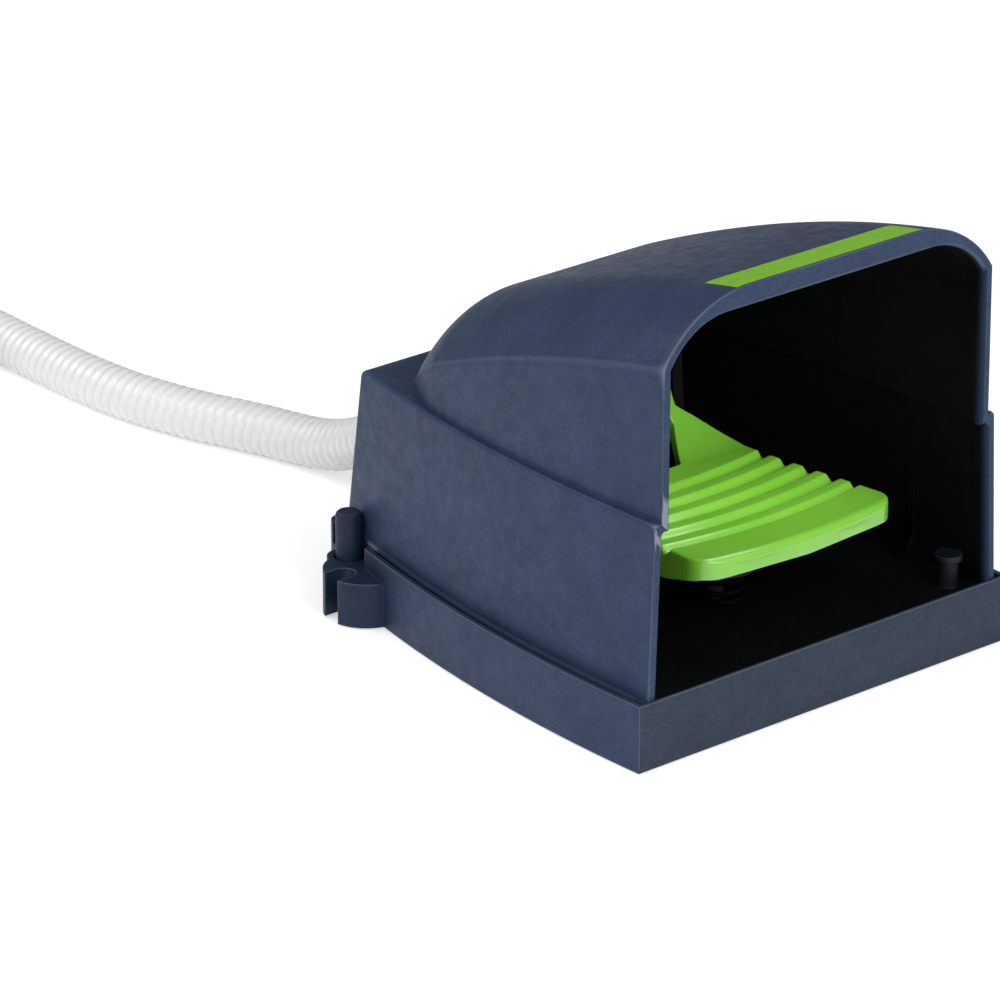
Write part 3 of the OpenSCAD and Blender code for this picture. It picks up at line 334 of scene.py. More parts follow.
def reckoned(tree_nodes, links, operation, first, second=0.0):
    """A sum done in the shader, its second value another socket or a plain number."""
    step = tree_nodes.new("ShaderNodeMath")
    step.operation = operation
    links.new(first, step.inputs[0])
    if isinstance(second, float):
        step.inputs[1].default_value = second
    else:
        links.new(second, step.inputs[1])
    return step.outputs["Value"]


straight = reckoned(tree_nodes, links, "MAXIMUM", floor_ray["Is Camera Ray"], floor_ray["Is Glossy Ray"])
shown = reckoned(tree_nodes, links, "MAXIMUM", straight, floor_ray["Is Transmission Ray"])
links.new(reckoned(tree_nodes, links, "MULTIPLY", shown, floor_glow), shader.inputs["Emission Strength"])
floor_mesh.materials.append(pale_floor)

world = bpy.data.worlds.new("studio")
world.use_nodes = True
scene.world = world
sky_nodes, sky_links = world.node_tree.nodes, world.node_tree.links
sky_out = next(n for n in sky_nodes if n.type == "OUTPUT_WORLD")
room = next(n for n in sky_nodes if n.type == "BACKGROUND")
room.inputs["Color"].default_value = (1.0, 1.0, 1.0, 1.0)
room.inputs["Strength"].default_value = 0.26
seen = sky_nodes.new("ShaderNodeBackground")
seen.inputs["Color"].default_value = (1.0, 1.0, 1.0, 1.0)
seen.inputs["Strength"].default_value = 1.0
ray = sky_nodes.new("ShaderNodeLightPath")
pick = sky_nodes.new("ShaderNodeMixShader")
sky_links.new(ray.outputs["Is Camera Ray"], pick.inputs["Fac"])
sky_links.new(room.outputs["Background"], pick.inputs[1])
sky_links.new(seen.outputs["Background"], pick.inputs[2])
sky_links.new(pick.outputs["Shader"], sky_out.inputs["Surface"])


def soft_box(name, at, aim, size, power):
    """A square lamp at a point, turned to face another."""
    lamp = bpy.data.lights.new(name, "AREA")
    lamp.shape = "SQUARE"
    lamp.size = size
    lamp.energy = power
    back = np.array(at) - np.array(aim)
    back = back / np.linalg.norm(back)
    right = np.cross([0.0, 0.0, 1.0], back)
    right = right / np.linalg.norm(right)
    place = np.eye(4)
    place[:3, 0] = right
    place[:3, 1] = np.cross(back, right)
    place[:3, 2] = back
    place[:3, 3] = at
    box = bpy.data.objects.new(name, lamp)
    box.matrix_world = Matrix(place.tolist())
    scene.collection.objects.link(box)


part_middle, tread_middle = (0.0, 0.0, 0.06), (0.0, -0.035, 0.05)
soft_box("key_box", (0.1, -1.45, 1.4), part_middle, 1.1, 12.0)
soft_box("low_box", (0.0, -1.8, 0.9), part_middle, 1.1, 9.0)
soft_box("left_box", (-0.9, -1.6, 0.9), part_middle, 1.1, 6.0)
soft_box("side_box", (-1.8, -0.1, 0.9), part_middle, 1.2, 6.0)
soft_box("rear_box", (-1.0, 1.2, 1.5), part_middle, 1.2, 13.0)
soft_box("mouth_box", (0.0, -0.055, 0.124), tread_middle, 0.05, 0.034)


# Base tray.
# Moulded in navy ABS with a fine spark-eroded grain: a shallow tray with a rim, slotted ears and a deck.
# The hood stands on its deck; inside the hood the deck is painted near-black, as shade.
def colour_mix(tree_nodes, blend_type="MIX"):
    """A node that mixes two colours, in full where nothing drives its factor."""
    mix = tree_nodes.new("ShaderNodeMix")
    mix.data_type = "RGBA"
    mix.blend_type = blend_type
    mix.inputs["Factor"].default_value = 1.0
    return mix


def navy_finish(name, dark, light, edge_wear_and_glint, fine_mesh=False):
    """Grained navy plastic: a slow change of tone, a fine grain, and a paler line along convex edges, partly
    rubbed wear and partly a painted edge highlight.
    """
    material, shader, tree_nodes, links = finish_nodes(name)
    tone = ramp(tree_nodes, links, noise(tree_nodes, links, 55.0, 4.0), dark, light, 0.35, 0.65)
    speck = ramp(tree_nodes, links, noise(tree_nodes, links, 1500.0, 2.0), 0.72, 1.28, 0.35, 0.65)
    grained = colour_mix(tree_nodes, "MULTIPLY")
    links.new(tone, grained.inputs["A"])
    links.new(speck, grained.inputs["B"])
    soft_edge = tree_nodes.new("ShaderNodeBevel")
    soft_edge.samples = 6
    soft_edge.inputs["Radius"].default_value = 0.0007
    flat = tree_nodes.new("ShaderNodeNewGeometry")
    match = tree_nodes.new("ShaderNodeVectorMath")
    match.operation = "DOT_PRODUCT"
    links.new(soft_edge.outputs["Normal"], match.inputs[0])
    links.new(flat.outputs["Normal"], match.inputs[1])
    hollow = tree_nodes.new("ShaderNodeAmbientOcclusion")
    hollow.samples = 6
    hollow.inputs["Distance"].default_value = 0.003
    sharp = ramp(tree_nodes, links, match.outputs["Value"], 1.0, 0.0, 0.86, 0.985)
    if fine_mesh:
        sharp = ramp(tree_nodes, links, flat.outputs["Pointiness"], 0.0, 1.0, 0.52, 0.565)
    outward = ramp(tree_nodes, links, hollow.outputs["AO"], 0.0, 1.0, 0.75, 0.98)
    # Paler colour on convex edges only: partly rubbed wear, partly a painted edge highlight.
    edge_wear_and_glint_mix = colour_mix(tree_nodes)
    links.new(reckoned(tree_nodes, links, "MULTIPLY", sharp, outward), edge_wear_and_glint_mix.inputs["Factor"])
    links.new(grained.outputs["Result"], edge_wear_and_glint_mix.inputs["A"])
    edge_wear_and_glint_mix.inputs["B"].default_value = (*edge_wear_and_glint, 1.0)
    links.new(edge_wear_and_glint_mix.outputs["Result"], shader.inputs["Base Color"])
    mottled(shader, "Roughness", 240.0, 0.44, 0.60)
    shader.inputs["Specular IOR Level"].default_value = 0.3
    relief = bump(tree_nodes, links, shader, noise(tree_nodes, links, 1100.0, 2.0), 0.10, 0.0004)
    links.new(soft_edge.outputs["Normal"], relief.inputs["Normal"])
    return material, shader, tree_nodes, links, grained, edge_wear_and_glint_mix


def own_axes(tree_nodes, links):
    """The x, y and z of each point on the piece."""
    place = tree_nodes.new("ShaderNodeTexCoord")
    axes = tree_nodes.new("ShaderNodeSeparateXYZ")
    links.new(place.outputs["Object"], axes.inputs["Vector"])
    return axes.outputs


def face_values(mesh, kind):
    """The centre or the normal of every face, as rows of x, y and z."""
    values = np.empty(3 * len(mesh.polygons), np.float32)
    mesh.polygons.foreach_get(kind, values)
    return values.reshape(-1, 3).T


# The third colour is the paler edge line: partly rubbed wear, partly a painted edge highlight.
navy_dark, navy_light, navy_edge_wear_and_glint = (0.015, 0.033, 0.083), (0.022, 0.044, 0.104), (0.13, 0.155, 0.21)
navy_tray, shader, tree_nodes, links, tray_grain, tray_tone = navy_finish(
    "navy_tray", navy_dark, navy_light, navy_edge_wear_and_glint)
tray_front, tray_rear = -0.0855, 0.0855
# Painted shade along y: the front face greyer and darker, and the tray darker from about 27 mm behind its
# middle towards the ears.
along = tree_nodes.new("ShaderNodeMapRange")
along.inputs["From Min"].default_value = tray_front
along.inputs["From Max"].default_value = tray_rear
links.new(own_axes(tree_nodes, links)["Y"], along.inputs["Value"])
tray_painted_shade = tree_nodes.new("ShaderNodeValToRGB")
tray_shade_stops = [(0.0, (1.0, 0.79, 0.63)), (0.0055, (1.0, 0.79, 0.63)), (0.011, (1.0, 1.0, 1.0)),
               (0.66, (1.0, 1.0, 1.0)), (0.80, (0.55, 0.55, 0.55)), (1.0, (0.5, 0.5, 0.5))]
for at, colour in tray_shade_stops[1:-1]:
    tray_painted_shade.color_ramp.elements.new(at).color = (*colour, 1.0)
tray_painted_shade.color_ramp.elements[0].color = (*tray_shade_stops[0][1], 1.0)
tray_painted_shade.color_ramp.elements[-1].color = (*tray_shade_stops[-1][1], 1.0)
links.new(along.outputs["Result"], tray_painted_shade.inputs["Fac"])
tray_mix = colour_mix(tree_nodes, "MULTIPLY")
links.new(tray_grain.outputs["Result"], tray_mix.inputs["A"])
links.new(tray_painted_shade.outputs["Color"], tray_mix.inputs["B"])
links.new(tray_mix.outputs["Result"], tray_tone.inputs["A"])
dressed("base_shell", navy_tray)
# The pillar stands in the hood's mouth: a darker copy of the navy, with its edge line darkened likewise, as
# painted shade.
pillar_shade_dark, pillar_shade_light = (0.0015, 0.0035, 0.008), (0.0025, 0.005, 0.011)
pillar_shade_edge = (0.012, 0.018, 0.028)
navy_pillar_shaded = navy_finish("navy_pillar_shaded", pillar_shade_dark, pillar_shade_light, pillar_shade_edge)[0]
deck_shade, shader, tree_nodes, links = finish_nodes("deck_shade")
shade_dark, shade_light = (0.0012, 0.0013, 0.0016), (0.0024, 0.0026, 0.0032)
shade_tone = ramp(tree_nodes, links, noise(tree_nodes, links, 180.0), shade_dark, shade_light)
rim_front, rim_back = -0.0838, -0.0800
into_shade = tree_nodes.new("ShaderNodeMapRange")
into_shade.interpolation_type = "SMOOTHSTEP"
into_shade.inputs["From Min"].default_value = rim_front
into_shade.inputs["From Max"].default_value = rim_back
links.new(own_axes(tree_nodes, links)["Y"], into_shade.inputs["Value"])
rim_mix = colour_mix(tree_nodes)
links.new(into_shade.outputs["Result"], rim_mix.inputs["Factor"])
rim_navy = (0.020, 0.034, 0.070)
rim_mix.inputs["A"].default_value = (*rim_navy, 1.0)
links.new(shade_tone, rim_mix.inputs["B"])
links.new(rim_mix.outputs["Result"], shader.inputs["Base Color"])
mottled(shader, "Roughness", 600.0, 0.7, 0.85)
bump(tree_nodes, links, shader, noise(tree_nodes, links, 1100.0), 0.1, 0.0004)
shader.inputs["Specular IOR Level"].default_value = 0.08
deck_z, face_gap, facing_up = 0.0195, 1e-4, 0.9
tray_mesh = nodes["base_shell"].data
tray_mesh.materials.append(deck_shade)
tray_mesh.materials.append(navy_pillar_shaded)
tray_x, tray_y, tray_z = face_values(tray_mesh, "center")
on_deck = (np.abs(tray_z - deck_z) < face_gap) & (face_values(tray_mesh, "normal")[2] > facing_up)
pillar_at, pillar_reach = (0.0598, -0.0746), 0.0046
from_pillar = np.hypot(tray_x - pillar_at[0], tray_y - pillar_at[1])
on_pillar = (from_pillar < pillar_reach) & (tray_z > deck_z + face_gap)
# Deck faces take the painted near-black shade; the pillar's faces take its painted darker navy.
tray_mesh.polygons.foreach_set("material_index", np.where(on_pillar, 2, on_deck).astype(np.int32))
tray_mesh.update()


# Bottom plate, its screws and the feet.
# A black moulded plate screwed up into the tray, with four soft rubber feet pressed into it.
# The spring cup shares the plate's finish, and the upper stops, the grommet and the seals share the feet's.
black_abs, shader, tree_nodes, links = finish_nodes("black_abs")
mottled(shader, "Base Color", 90.0, (0.012, 0.012, 0.014), (0.022, 0.022, 0.025))
mottled(shader, "Roughness", 500.0, 0.42, 0.58)
bump(tree_nodes, links, shader, noise(tree_nodes, links, 1000.0), 0.12, 0.0003)
dressed("bottom_plate", black_abs)
dressed("spring_cup", black_abs)
soft_rubber, shader, tree_nodes, links = finish_nodes("soft_rubber")
mottled(shader, "Base Color", 140.0, (0.009, 0.009, 0.009), (0.019, 0.019, 0.018))
mottled(shader, "Roughness", 400.0, 0.68, 0.86)
bump(tree_nodes, links, shader, noise(tree_nodes, links, 900.0), 0.2, 0.0004)
for name in ("rubber_feet", "up_stops", "hose_grommet", "stem_seal", "spool_seal"):
    dressed(name, soft_rubber)
plated_steel, shader, tree_nodes, links = finish_nodes("plated_steel")
mottled(shader, "Base Color", 120.0, (0.42, 0.43, 0.44), (0.60, 0.61, 0.62))
mottled(shader, "Roughness", 700.0, 0.24, 0.42)
bump(tree_nodes, links, shader, noise(tree_nodes, links, 1600.0), 0.06, 0.0002)
shader.inputs["Metallic"].default_value = 1.0
dressed("bottom_screws", plated_steel)


# Hinge frame, pin and clips.
# A bent, black-painted steel frame screwed to the deck; a bright pin with two spring clips carries the pedal.
# Its black is darker than the paint's own colour: painted shade, as the frame stands inside the hood.
black_paint, shader, tree_nodes, links = finish_nodes("black_paint")
mottled(shader, "Base Color", 70.0, (0.003, 0.003, 0.0034), (0.006, 0.006, 0.0066))
mottled(shader, "Roughness", 450.0, 0.48, 0.62)
shader.inputs["Specular IOR Level"].default_value = 0.15
bump(tree_nodes, links, shader, noise(tree_nodes, links, 800.0), 0.1, 0.0003)
dressed("hinge_frame", black_paint)
for name in ("frame_screws", "hinge_pin", "pin_clips"):
    dressed(name, plated_steel)


# Valve.
# A black block with a brass bonnet, a steel spool on a light spring, and a sintered vent.
# The pedal's steel press pad and brass bushes share these finishes.
# The valve block takes the same darkened black: painted shade inside the hood.
dressed("valve_body", black_paint)
for name in ("valve_screws", "spool", "press_pad"):
    dressed(name, plated_steel)
for name in ("valve_bonnet", "pedal_bushes"):
    dressed(name, turned_brass)
sintered, shader, tree_nodes, links = finish_nodes("sintered_bronze")
grit = noise(tree_nodes, links, 2200.0, 2.0)
grit_tone = ramp(tree_nodes, links, grit, (0.20, 0.12, 0.05), (0.52, 0.36, 0.17))
links.new(grit_tone, shader.inputs["Base Color"])
bump(tree_nodes, links, shader, grit, 0.6, 0.0004)
shader.inputs["Metallic"].default_value = 0.9
shader.inputs["Roughness"].default_value = 0.55
dressed("vent_filter", sintered)


# Springs.
# Spring wire wound with its end turns closed: the large black one lifts the pedal, the small one the spool.
def wound(middle, mid_r, wire, low, high, turns, dead=1.0, sides=12):
    """A helix: mid_r * (cos a, sin a), rising one wire a turn in the closed ends and evenly between them."""
    turn_points = 40
    a = np.linspace(0.0, turns, int(turns * turn_points) + 1)
    free = (high - low - wire * (1 + 2 * dead)) / (turns - 2 * dead)
    open_rise = wire * dead + free * (a - dead)
    last_rise = wire * (a - turns + dead) + wire * dead + free * (turns - 2 * dead)
    rise = np.where(a < dead, wire * a, np.where(a > turns - dead, last_rise, open_rise))
    line = np.stack([middle[0] + mid_r * np.cos(2 * np.pi * a), middle[1] + mid_r * np.sin(2 * np.pi * a),
                     low + wire / 2 + rise], axis=1)
    return tube(line, wire / 2, sides)


# The wire is darker than its black coating's own colour: painted shade under the pedal.
black_wire, shader, tree_nodes, links = finish_nodes("black_spring_wire")
wire_dark, wire_light = (0.0012, 0.0012, 0.0014), (0.0030, 0.0030, 0.0034)
mottled(shader, "Base Color", 200.0, wire_dark, wire_light)
mottled(shader, "Roughness", 700.0, 0.62, 0.78)
shader.inputs["Specular IOR Level"].default_value = 0.06
bump(tree_nodes, links, shader, noise(tree_nodes, links, 1500.0), 0.08, 0.0002)
lift_low, lift_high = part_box("return_spring")
lift_y, lift_r, lift_wire, lift_turns = -0.038, 0.0072, 0.0016, 8
lift_coil = wound((0.0, lift_y), lift_r, lift_wire, lift_low[2], lift_high[2], lift_turns)
lift_spring = moulded("pedal_spring", [lift_coil], black_wire)
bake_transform(lift_spring)
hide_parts("return_spring")
small_low, small_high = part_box("valve_spring")
small_y, small_wire, small_turns = -0.010, 0.0008, 5
small_r = (small_high[0] - small_low[0]) / 2 - small_wire / 2
small_coil = wound((0.0, small_y), small_r, small_wire, small_low[2], small_high[2], small_turns)
spool_spring = moulded("spool_spring", [small_coil], plated_steel)
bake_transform(spool_spring)
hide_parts("valve_spring")


# Pedal.
# One green moulding: a tread with bowed ridges, a curled neck with a window, and two arms that end in eyes.
# The eyes hold the bushes on the hinge pin. Lengths are in millimetres, and y runs from the tray's front.
base_middle_y = 85.0
pole_r = 0.01
pedal_front, pedal_half, front_corner, front_bulge = 8.7, 39.4, 7.0, 4.2
tread_level, tread_tilt = 51.0, np.radians(2.0)
skirt_depth, side_skirt, skin_depth, skirt_wall = 6.4, 3.4, 4.5, 2.6
nose_r, nose_run, bow_from, bow_over = 2.6, 3.0, 66.0, 10.0
first_valley, ridge_pitch, ridge_height, ridge_count = 25.6, 9.9, 1.9, 5
crest_at, crest_rise, fall_from, fall_over, front_fall = 2.8, 2.6, 5.6, 4.2, 2.2
curl_from, curl_r, curl_turn = 76.4, 24.4, np.radians(55.0)
bow_r = (pedal_half**2 + front_bulge**2) / (2 * front_bulge)
hinge_y, hinge_z, eye_r, eye_in, eye_out, bush_r = 112.0, 84.0, 8.0, 18.8, 26.5, 4.05
arm_in, arm_out = 20.8, 25.2
edge_path = [0, 19.9, 67.4, 79.4, 82.7, 84.7, 86.7, 88.6, 90.4, 92.1, 93.7, 95.1, 96.6]
edge_half = [40.6, 39.4, 36.5, 36.8, 36.4, 35.7, 34.9, 33.9, 32.7, 31.3, 29.6, 27.5, arm_out]
skirt_path, skirt_share = [14.7, 29.7, 60.4, 72.4], [0, 1, 1, 0]
neck_thinner, neck_over = 2.8, 10.0
window_front, window_half, window_r, window_flare = 77.9, 8.7, 3.6, np.radians(35.0)


def ridge_relief(y):
    """Drop below the tread's slope: a ridge climbs fast from its valley, runs flat, and falls slowly."""
    p = np.mod(y - first_valley, ridge_pitch)
    climb = eased((p - crest_at + crest_rise) / crest_rise) - 1
    wave = np.where(p < crest_at, climb, -eased((p - fall_from) / fall_over))
    front = -eased((y - first_valley + front_fall) / front_fall)
    last_crest = first_valley + ridge_pitch * (ridge_count - 1) + crest_at
    return ridge_height * np.where(y < first_valley, front, np.where(y < last_crest, wave, 0.0))


def window_edge(y):
    """Half width of the window: straight across its front, round its corners, then flared to the arms."""
    from_front = y - window_front
    turn_end = window_r * (1 - np.sin(window_flare))
    to_side = window_r - np.minimum(from_front, turn_end)
    rounded = window_half + np.sqrt(np.maximum(window_r**2 - to_side**2, 0))
    flared = np.maximum(from_front - turn_end, 0) * np.tan(window_flare)
    return np.where(from_front < 0, 0.0, np.minimum(rounded + flared, arm_in))


def pedal_skin():
    """Rows along the tread and up the curl, each half a hollow section: top, edge, skirt, underside."""
    nose = pedal_front + nose_run * (1 - np.cos(np.linspace(0, np.pi / 2, 14)))
    flat = np.linspace(pedal_front + nose_run + 0.2, curl_from, 200)
    y_flat = np.concatenate([nose, flat])
    window_a = np.arcsin((window_front - curl_from) / curl_r)
    window_rows = [window_a - 0.0005, window_a + 0.0001]
    turn_a = np.sort(np.concatenate([np.linspace(0.01, curl_turn, 60), window_rows]))
    top_y, top_z = hinge_y - 2.4, hinge_z + 6.2
    curl_y = curl_from + curl_r * np.sin(turn_a)
    curl_z = tread_level + curl_r * (1 - np.cos(turn_a))
    arm_t = np.linspace(0.04, 1.0, 16)
    arm_y = curl_y[-1] + (top_y - curl_y[-1]) * arm_t
    arm_z = curl_z[-1] + (top_z - curl_z[-1]) * arm_t
    y = np.concatenate([y_flat, curl_y, arm_y])
    lean = np.arctan2(top_z - curl_z[-1], top_y - curl_y[-1])
    arm_slope = curl_turn + (lean - curl_turn) * eased(arm_t / 0.3)
    slope = np.concatenate([np.zeros(len(y_flat)), turn_a, arm_slope])
    nose_drop = nose_r * (1 - np.sqrt(1 - np.clip(1 - (y_flat - pedal_front) / nose_r, 0, 1) ** 2))
    relief = ridge_relief(y_flat) - nose_drop
    z = np.concatenate([tread_level + (curl_from - y_flat) * np.tan(tread_tilt) + relief, curl_z, arm_z])
    bow_fade = 1 - eased((y - bow_from) / bow_over)
    y_edge = y + front_bulge * bow_fade
    from_nose = np.clip(y - pedal_front, 0, front_corner)
    corner_in = front_corner - np.sqrt(front_corner**2 - (front_corner - from_nose) ** 2)
    half = np.interp(y_edge, edge_path, edge_half) - corner_in
    inner = window_edge(y)
    side_deep = skirt_depth + side_skirt * np.interp(y_edge, skirt_path, skirt_share)
    outer_deep = side_deep - neck_thinner * eased((y - curl_from) / neck_over)
    neck_skin = np.minimum(outer_deep, skirt_depth)
    tread_skin = np.where(y < curl_from - 6, skin_depth, neck_skin)
    skin = np.where(y < pedal_front + skirt_wall, skirt_depth, tread_skin)
    across = np.linspace(0, 1, 15)
    round_a = np.linspace(0, np.pi / 2, 7)
    edge = 1.1
    rim = 0.7 * (inner > 0)
    top_x = (inner + rim)[:, None] + (half - edge - inner - rim)[:, None] * across[None, :]
    edge_x = (half - edge)[:, None] + edge * np.sin(round_a)[None, :]
    edge_h = edge * (np.cos(round_a)[None, :] - 1) + np.zeros_like(edge_x)
    wall_in = np.maximum(half - skirt_wall, inner + 0.2)
    low_x = np.stack([half, half, wall_in, wall_in, inner, inner, inner + 0.3 * rim], axis=1)
    low_h = np.stack([-0.6 * outer_deep, -outer_deep, -outer_deep, -skin, -skin, -rim, -0.3 * rim], axis=1)
    x = np.concatenate([top_x, edge_x, low_x], axis=1)
    h = np.concatenate([np.zeros_like(top_x), edge_h, low_h], axis=1)
    level = np.concatenate([relief, np.zeros(len(curl_y) + len(arm_y))])
    below = np.arange(x.shape[1]) >= len(across) + len(round_a)
    h = np.where(below[None, :] & (h < -1.5), h - level[:, None], h)
    bow = (bow_r - np.sqrt(bow_r**2 - x**2)) * bow_fade[:, None]
    py = y[:, None] + bow - h * np.sin(slope)[:, None]
    own_half = np.interp(py, edge_path, edge_half)
    narrower = np.minimum((own_half - inner[:, None]) / (half - inner)[:, None], 1)
    x = np.where(y[:, None] > curl_from, inner[:, None] + (x - inner[:, None]) * narrower, x)
    pz = z[:, None] + h * np.cos(slope)[:, None]
    points = np.stack([x, py - base_middle_y, pz], axis=2) * mm
    rows, cols = x.shape
    caps = np.stack([np.broadcast_to(points[k].mean(axis=0), points[k].shape) for k in (0, -1)])
    points = np.concatenate([caps[:1], points, caps[1:]]).reshape(-1, 3)
    quads = facing_out(points, grid_faces(rows + 2, cols, wrap_cols=True))
    return points, quads[np.abs(points[quads][..., 0]).max(axis=1) > 1e-9]


def both_sides(*surfaces):
    """Each surface, followed by the same one on the other side of the middle."""
    sides = []
    for points, quads in surfaces:
        sides += [(points, quads), (points * np.array([-1.0, 1.0, 1.0]), quads[:, ::-1])]
    return sides


def turned(profile, centre, axis, sides=48):
    """A closed profile of (along, radius) pairs carried round an axis, at radius * (cos a, sin a)."""
    profile = np.asarray(profile, float)
    a = 2 * np.pi * np.arange(sides) / sides
    along = np.broadcast_to(profile[:, :1], (len(profile), sides))
    round_1, round_2 = profile[:, 1:] * np.cos(a), profile[:, 1:] * np.sin(a)
    order = {"x": (along, round_1, round_2), "y": (round_1, along, round_2), "z": (round_1, round_2, along)}
    points = (np.stack(order[axis], axis=2) + np.asarray(centre, float)) * mm
    return points.reshape(-1, 3), grid_faces(len(profile), sides, wrap_rows=True, wrap_cols=True)


def slab(outline, low, high, axis="x"):
    """A flat outline of (y, z) or (x, z) points drawn out along x or y, with a pole in each end."""
    outline = np.asarray(outline, float)
    middle = np.broadcast_to(outline.mean(axis=0), outline.shape)
    rings = np.stack([middle, outline, outline, middle])
    level = np.broadcast_to(np.array([low, low, high, high])[:, None], rings.shape[:2])
    order = (level, rings[..., 0], rings[..., 1]) if axis == "x" else (rings[..., 0], level, rings[..., 1])
    return (np.stack(order, axis=2) * mm).reshape(-1, 3), grid_faces(len(rings), len(outline), wrap_cols=True)


green_abs, shader = finish_nodes("green_abs")[:2]
green_dark, green_light = (0.195, 0.555, 0.040), (0.230, 0.60, 0.052)
mottled(shader, "Base Color", 40.0, green_dark, green_light, detail=4.0, start=0.35, end=0.65)
mottled(shader, "Roughness", 25.0, 0.285, 0.305, detail=1.0)
shader.inputs["Specular IOR Level"].default_value = 0.62
shader.inputs["Coat Weight"].default_value = 0.5
shader.inputs["Coat Roughness"].default_value = 0.24

eye_edge = 0.5
eye_line = [(eye_in, bush_r), (eye_in, eye_r - eye_edge), (eye_in + eye_edge, eye_r),
            (eye_out - eye_edge, eye_r), (eye_out, eye_r - eye_edge), (eye_out, bush_r)]
eye = turned(eye_line, (0, hinge_y - base_middle_y, hinge_z), "x")
lug_front, lug_rear, lug_low, lug_high = 117.5, 124.5, 71.3, 77
lug_line = [[hinge_y, hinge_z], [hinge_y, hinge_z - eye_r], [lug_front, lug_low], [lug_rear, lug_low],
            [lug_rear, lug_high], [hinge_y + eye_r - 1, hinge_z]]
lug = slab(np.array(lug_line) - np.array([base_middle_y, 0]), arm_in, arm_out)
cup_y, cup_low, cup_high, cup_r, cup_edge = 47, 47, 49.3, 12, 0.4
cup_line = [(cup_low, pole_r), (cup_low, cup_r - cup_edge), (cup_low + cup_edge, cup_r), (cup_high, cup_r),
            (cup_high, pole_r)]
cup_boss = turned(cup_line, (0, cup_y - base_middle_y, 0), "z")
press_y, press_low, press_high, press_in, press_out = 75, 47.5, 49.4, 4.0, 5.8
press_line = [(press_low, press_in), (press_low, press_out), (press_high, press_out), (press_high, press_in)]
press_boss = turned(press_line, (0, press_y - base_middle_y, 0), "z")
pedal = moulded("ribbed_pedal", both_sides(pedal_skin(), eye, lug) + [cup_boss, press_boss], green_abs)
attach(pedal, "pedal")
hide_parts("pedal")


# Down stop.
# A slim rubber buffer that stands on the deck inside the lifting spring.
# The coils lean as the pedal goes down, so it stands where they clear it at both ends of the swing.
stop_low, stop_high = np.array(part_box("down_stop")) / mm
stop_y, stop_r, stop_round = -34.75, 2.7, 0.6
stop_line = [(stop_low[2], pole_r), (stop_low[2], stop_r), (stop_high[2] - stop_round, stop_r),
             (stop_high[2], stop_r - stop_round), (stop_high[2], pole_r)]
buffer = moulded("down_buffer", [turned(stop_line, (0, stop_y, 0), "z")], soft_rubber)
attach(buffer, "base")
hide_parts("down_stop")


# Hood.
# One navy moulding, 3 mm thick: leaning walls up to a step, then a swept dome and a thick lip at the mouth.
# Two posts at its rear stand in the tray's ears and two hooks at its front snap under the deck.
wall, hood_half, dome_half, step_z, hood_top, deck = 3.0, 70.8, 66.1, 75.4, 143.0, 19.5
step_fall = np.radians(0.6)
hood_front, front_slope, roof_r, turn_r, roof_end = 1.2, np.radians(10.0), 490.0, 75.0, 147.3
side_r, widest_y, side_draft, rear_lean, rear_fillet = 550.0, 20.0, np.radians(2.2), np.radians(8.0), 8.0
rear_bottom, corner_blend, edge_r = 166.15, 4.0, 1.2
shoulder_w, shoulder_r, mouth_w, mouth_r = 33.0, 38.9, 22.0, 25.2
dome_side_r, dome_turn_y, dome_turn_r, dome_turn_end, dome_foot = 620.0, 105.0, 70.0, 62.0, 0.25
lip_deep, lip_top, lip_side = 5.6, 6.8, 3.3
roof_c = np.array([hood_front - roof_r * np.sin(front_slope), hood_top - roof_r * np.cos(front_slope)])
end_way = np.array([roof_end, step_z]) - roof_c
end_dist = np.linalg.norm(end_way)
turn_along = ((roof_r - turn_r) ** 2 - turn_r**2 + end_dist**2) / (2 * end_dist)
turn_aside = np.sqrt((roof_r - turn_r) ** 2 - turn_along**2)
turn_c = roof_c + (turn_along * end_way + turn_aside * np.array([-end_way[1], end_way[0]])) / end_dist
turn_y = roof_c[0] + (turn_c[0] - roof_c[0]) * roof_r / (roof_r - turn_r)


def arc_z(y, c, r):
    """Height of an arc of radius r about c."""
    return c[1] + np.sqrt(np.maximum(r * r - (y - c[0]) ** 2, 0))


def roof_z(y):
    """The dome's ridge line: a long arc that turns down into a short one behind turn_y."""
    return np.where(y < turn_y, arc_z(y, roof_c, roof_r), arc_z(y, turn_c, turn_r))


def side_drop(y, r):
    """How far a side has curved in at y, an arc of radius r from its widest place."""
    return np.where(y <= widest_y, 0.0, r - np.sqrt(r * r - (y - widest_y) ** 2))


def rear_y(z, inset):
    """The rear wall leans forward from its foot."""
    return rear_bottom - inset / np.cos(rear_lean) - (z - deck) * np.tan(rear_lean)


fillet_c = (rear_y(step_z - rear_fillet, 0.0) - rear_fillet / np.cos(rear_lean), step_z - rear_fillet)


def step_height(y, inset):
    """The step's top, which falls a little to the rear, then its rounded rear edge, then the rear wall."""
    end = fillet_c[0] + (rear_fillet - inset) * np.cos(rear_lean)
    on_wall = deck + (rear_bottom - inset / np.cos(rear_lean) - y) / np.tan(rear_lean)
    level = step_z + (fillet_c[0] - y) * np.tan(step_fall) - inset
    rounded = arc_z(y, fillet_c, rear_fillet - inset)
    return np.where(y <= fillet_c[0], level, np.where(y <= end, rounded, on_wall))


def wall_x(y, z, inset):
    """Half width of the wall: the base's arc, less the draft, less the round of the rear corner."""
    r = corner_blend - inset
    e = np.clip(rear_y(z, inset) - y, 0, r)
    corner_in = r - np.sqrt(r * r - (r - e) ** 2)
    return hood_half - side_drop(y, side_r) - (z - deck) * np.tan(side_draft) - inset - corner_in


def dome_x(y):
    """Half width of the dome's foot: a flat arc, then a tighter one round its rear."""
    past_turn = np.clip(y - dome_turn_y, 0, dome_turn_end)
    rear_in = np.where(y <= dome_turn_y, 0.0, dome_turn_r - np.sqrt(dome_turn_r**2 - past_turn**2))
    return dome_half - side_drop(y, dome_side_r) - rear_in


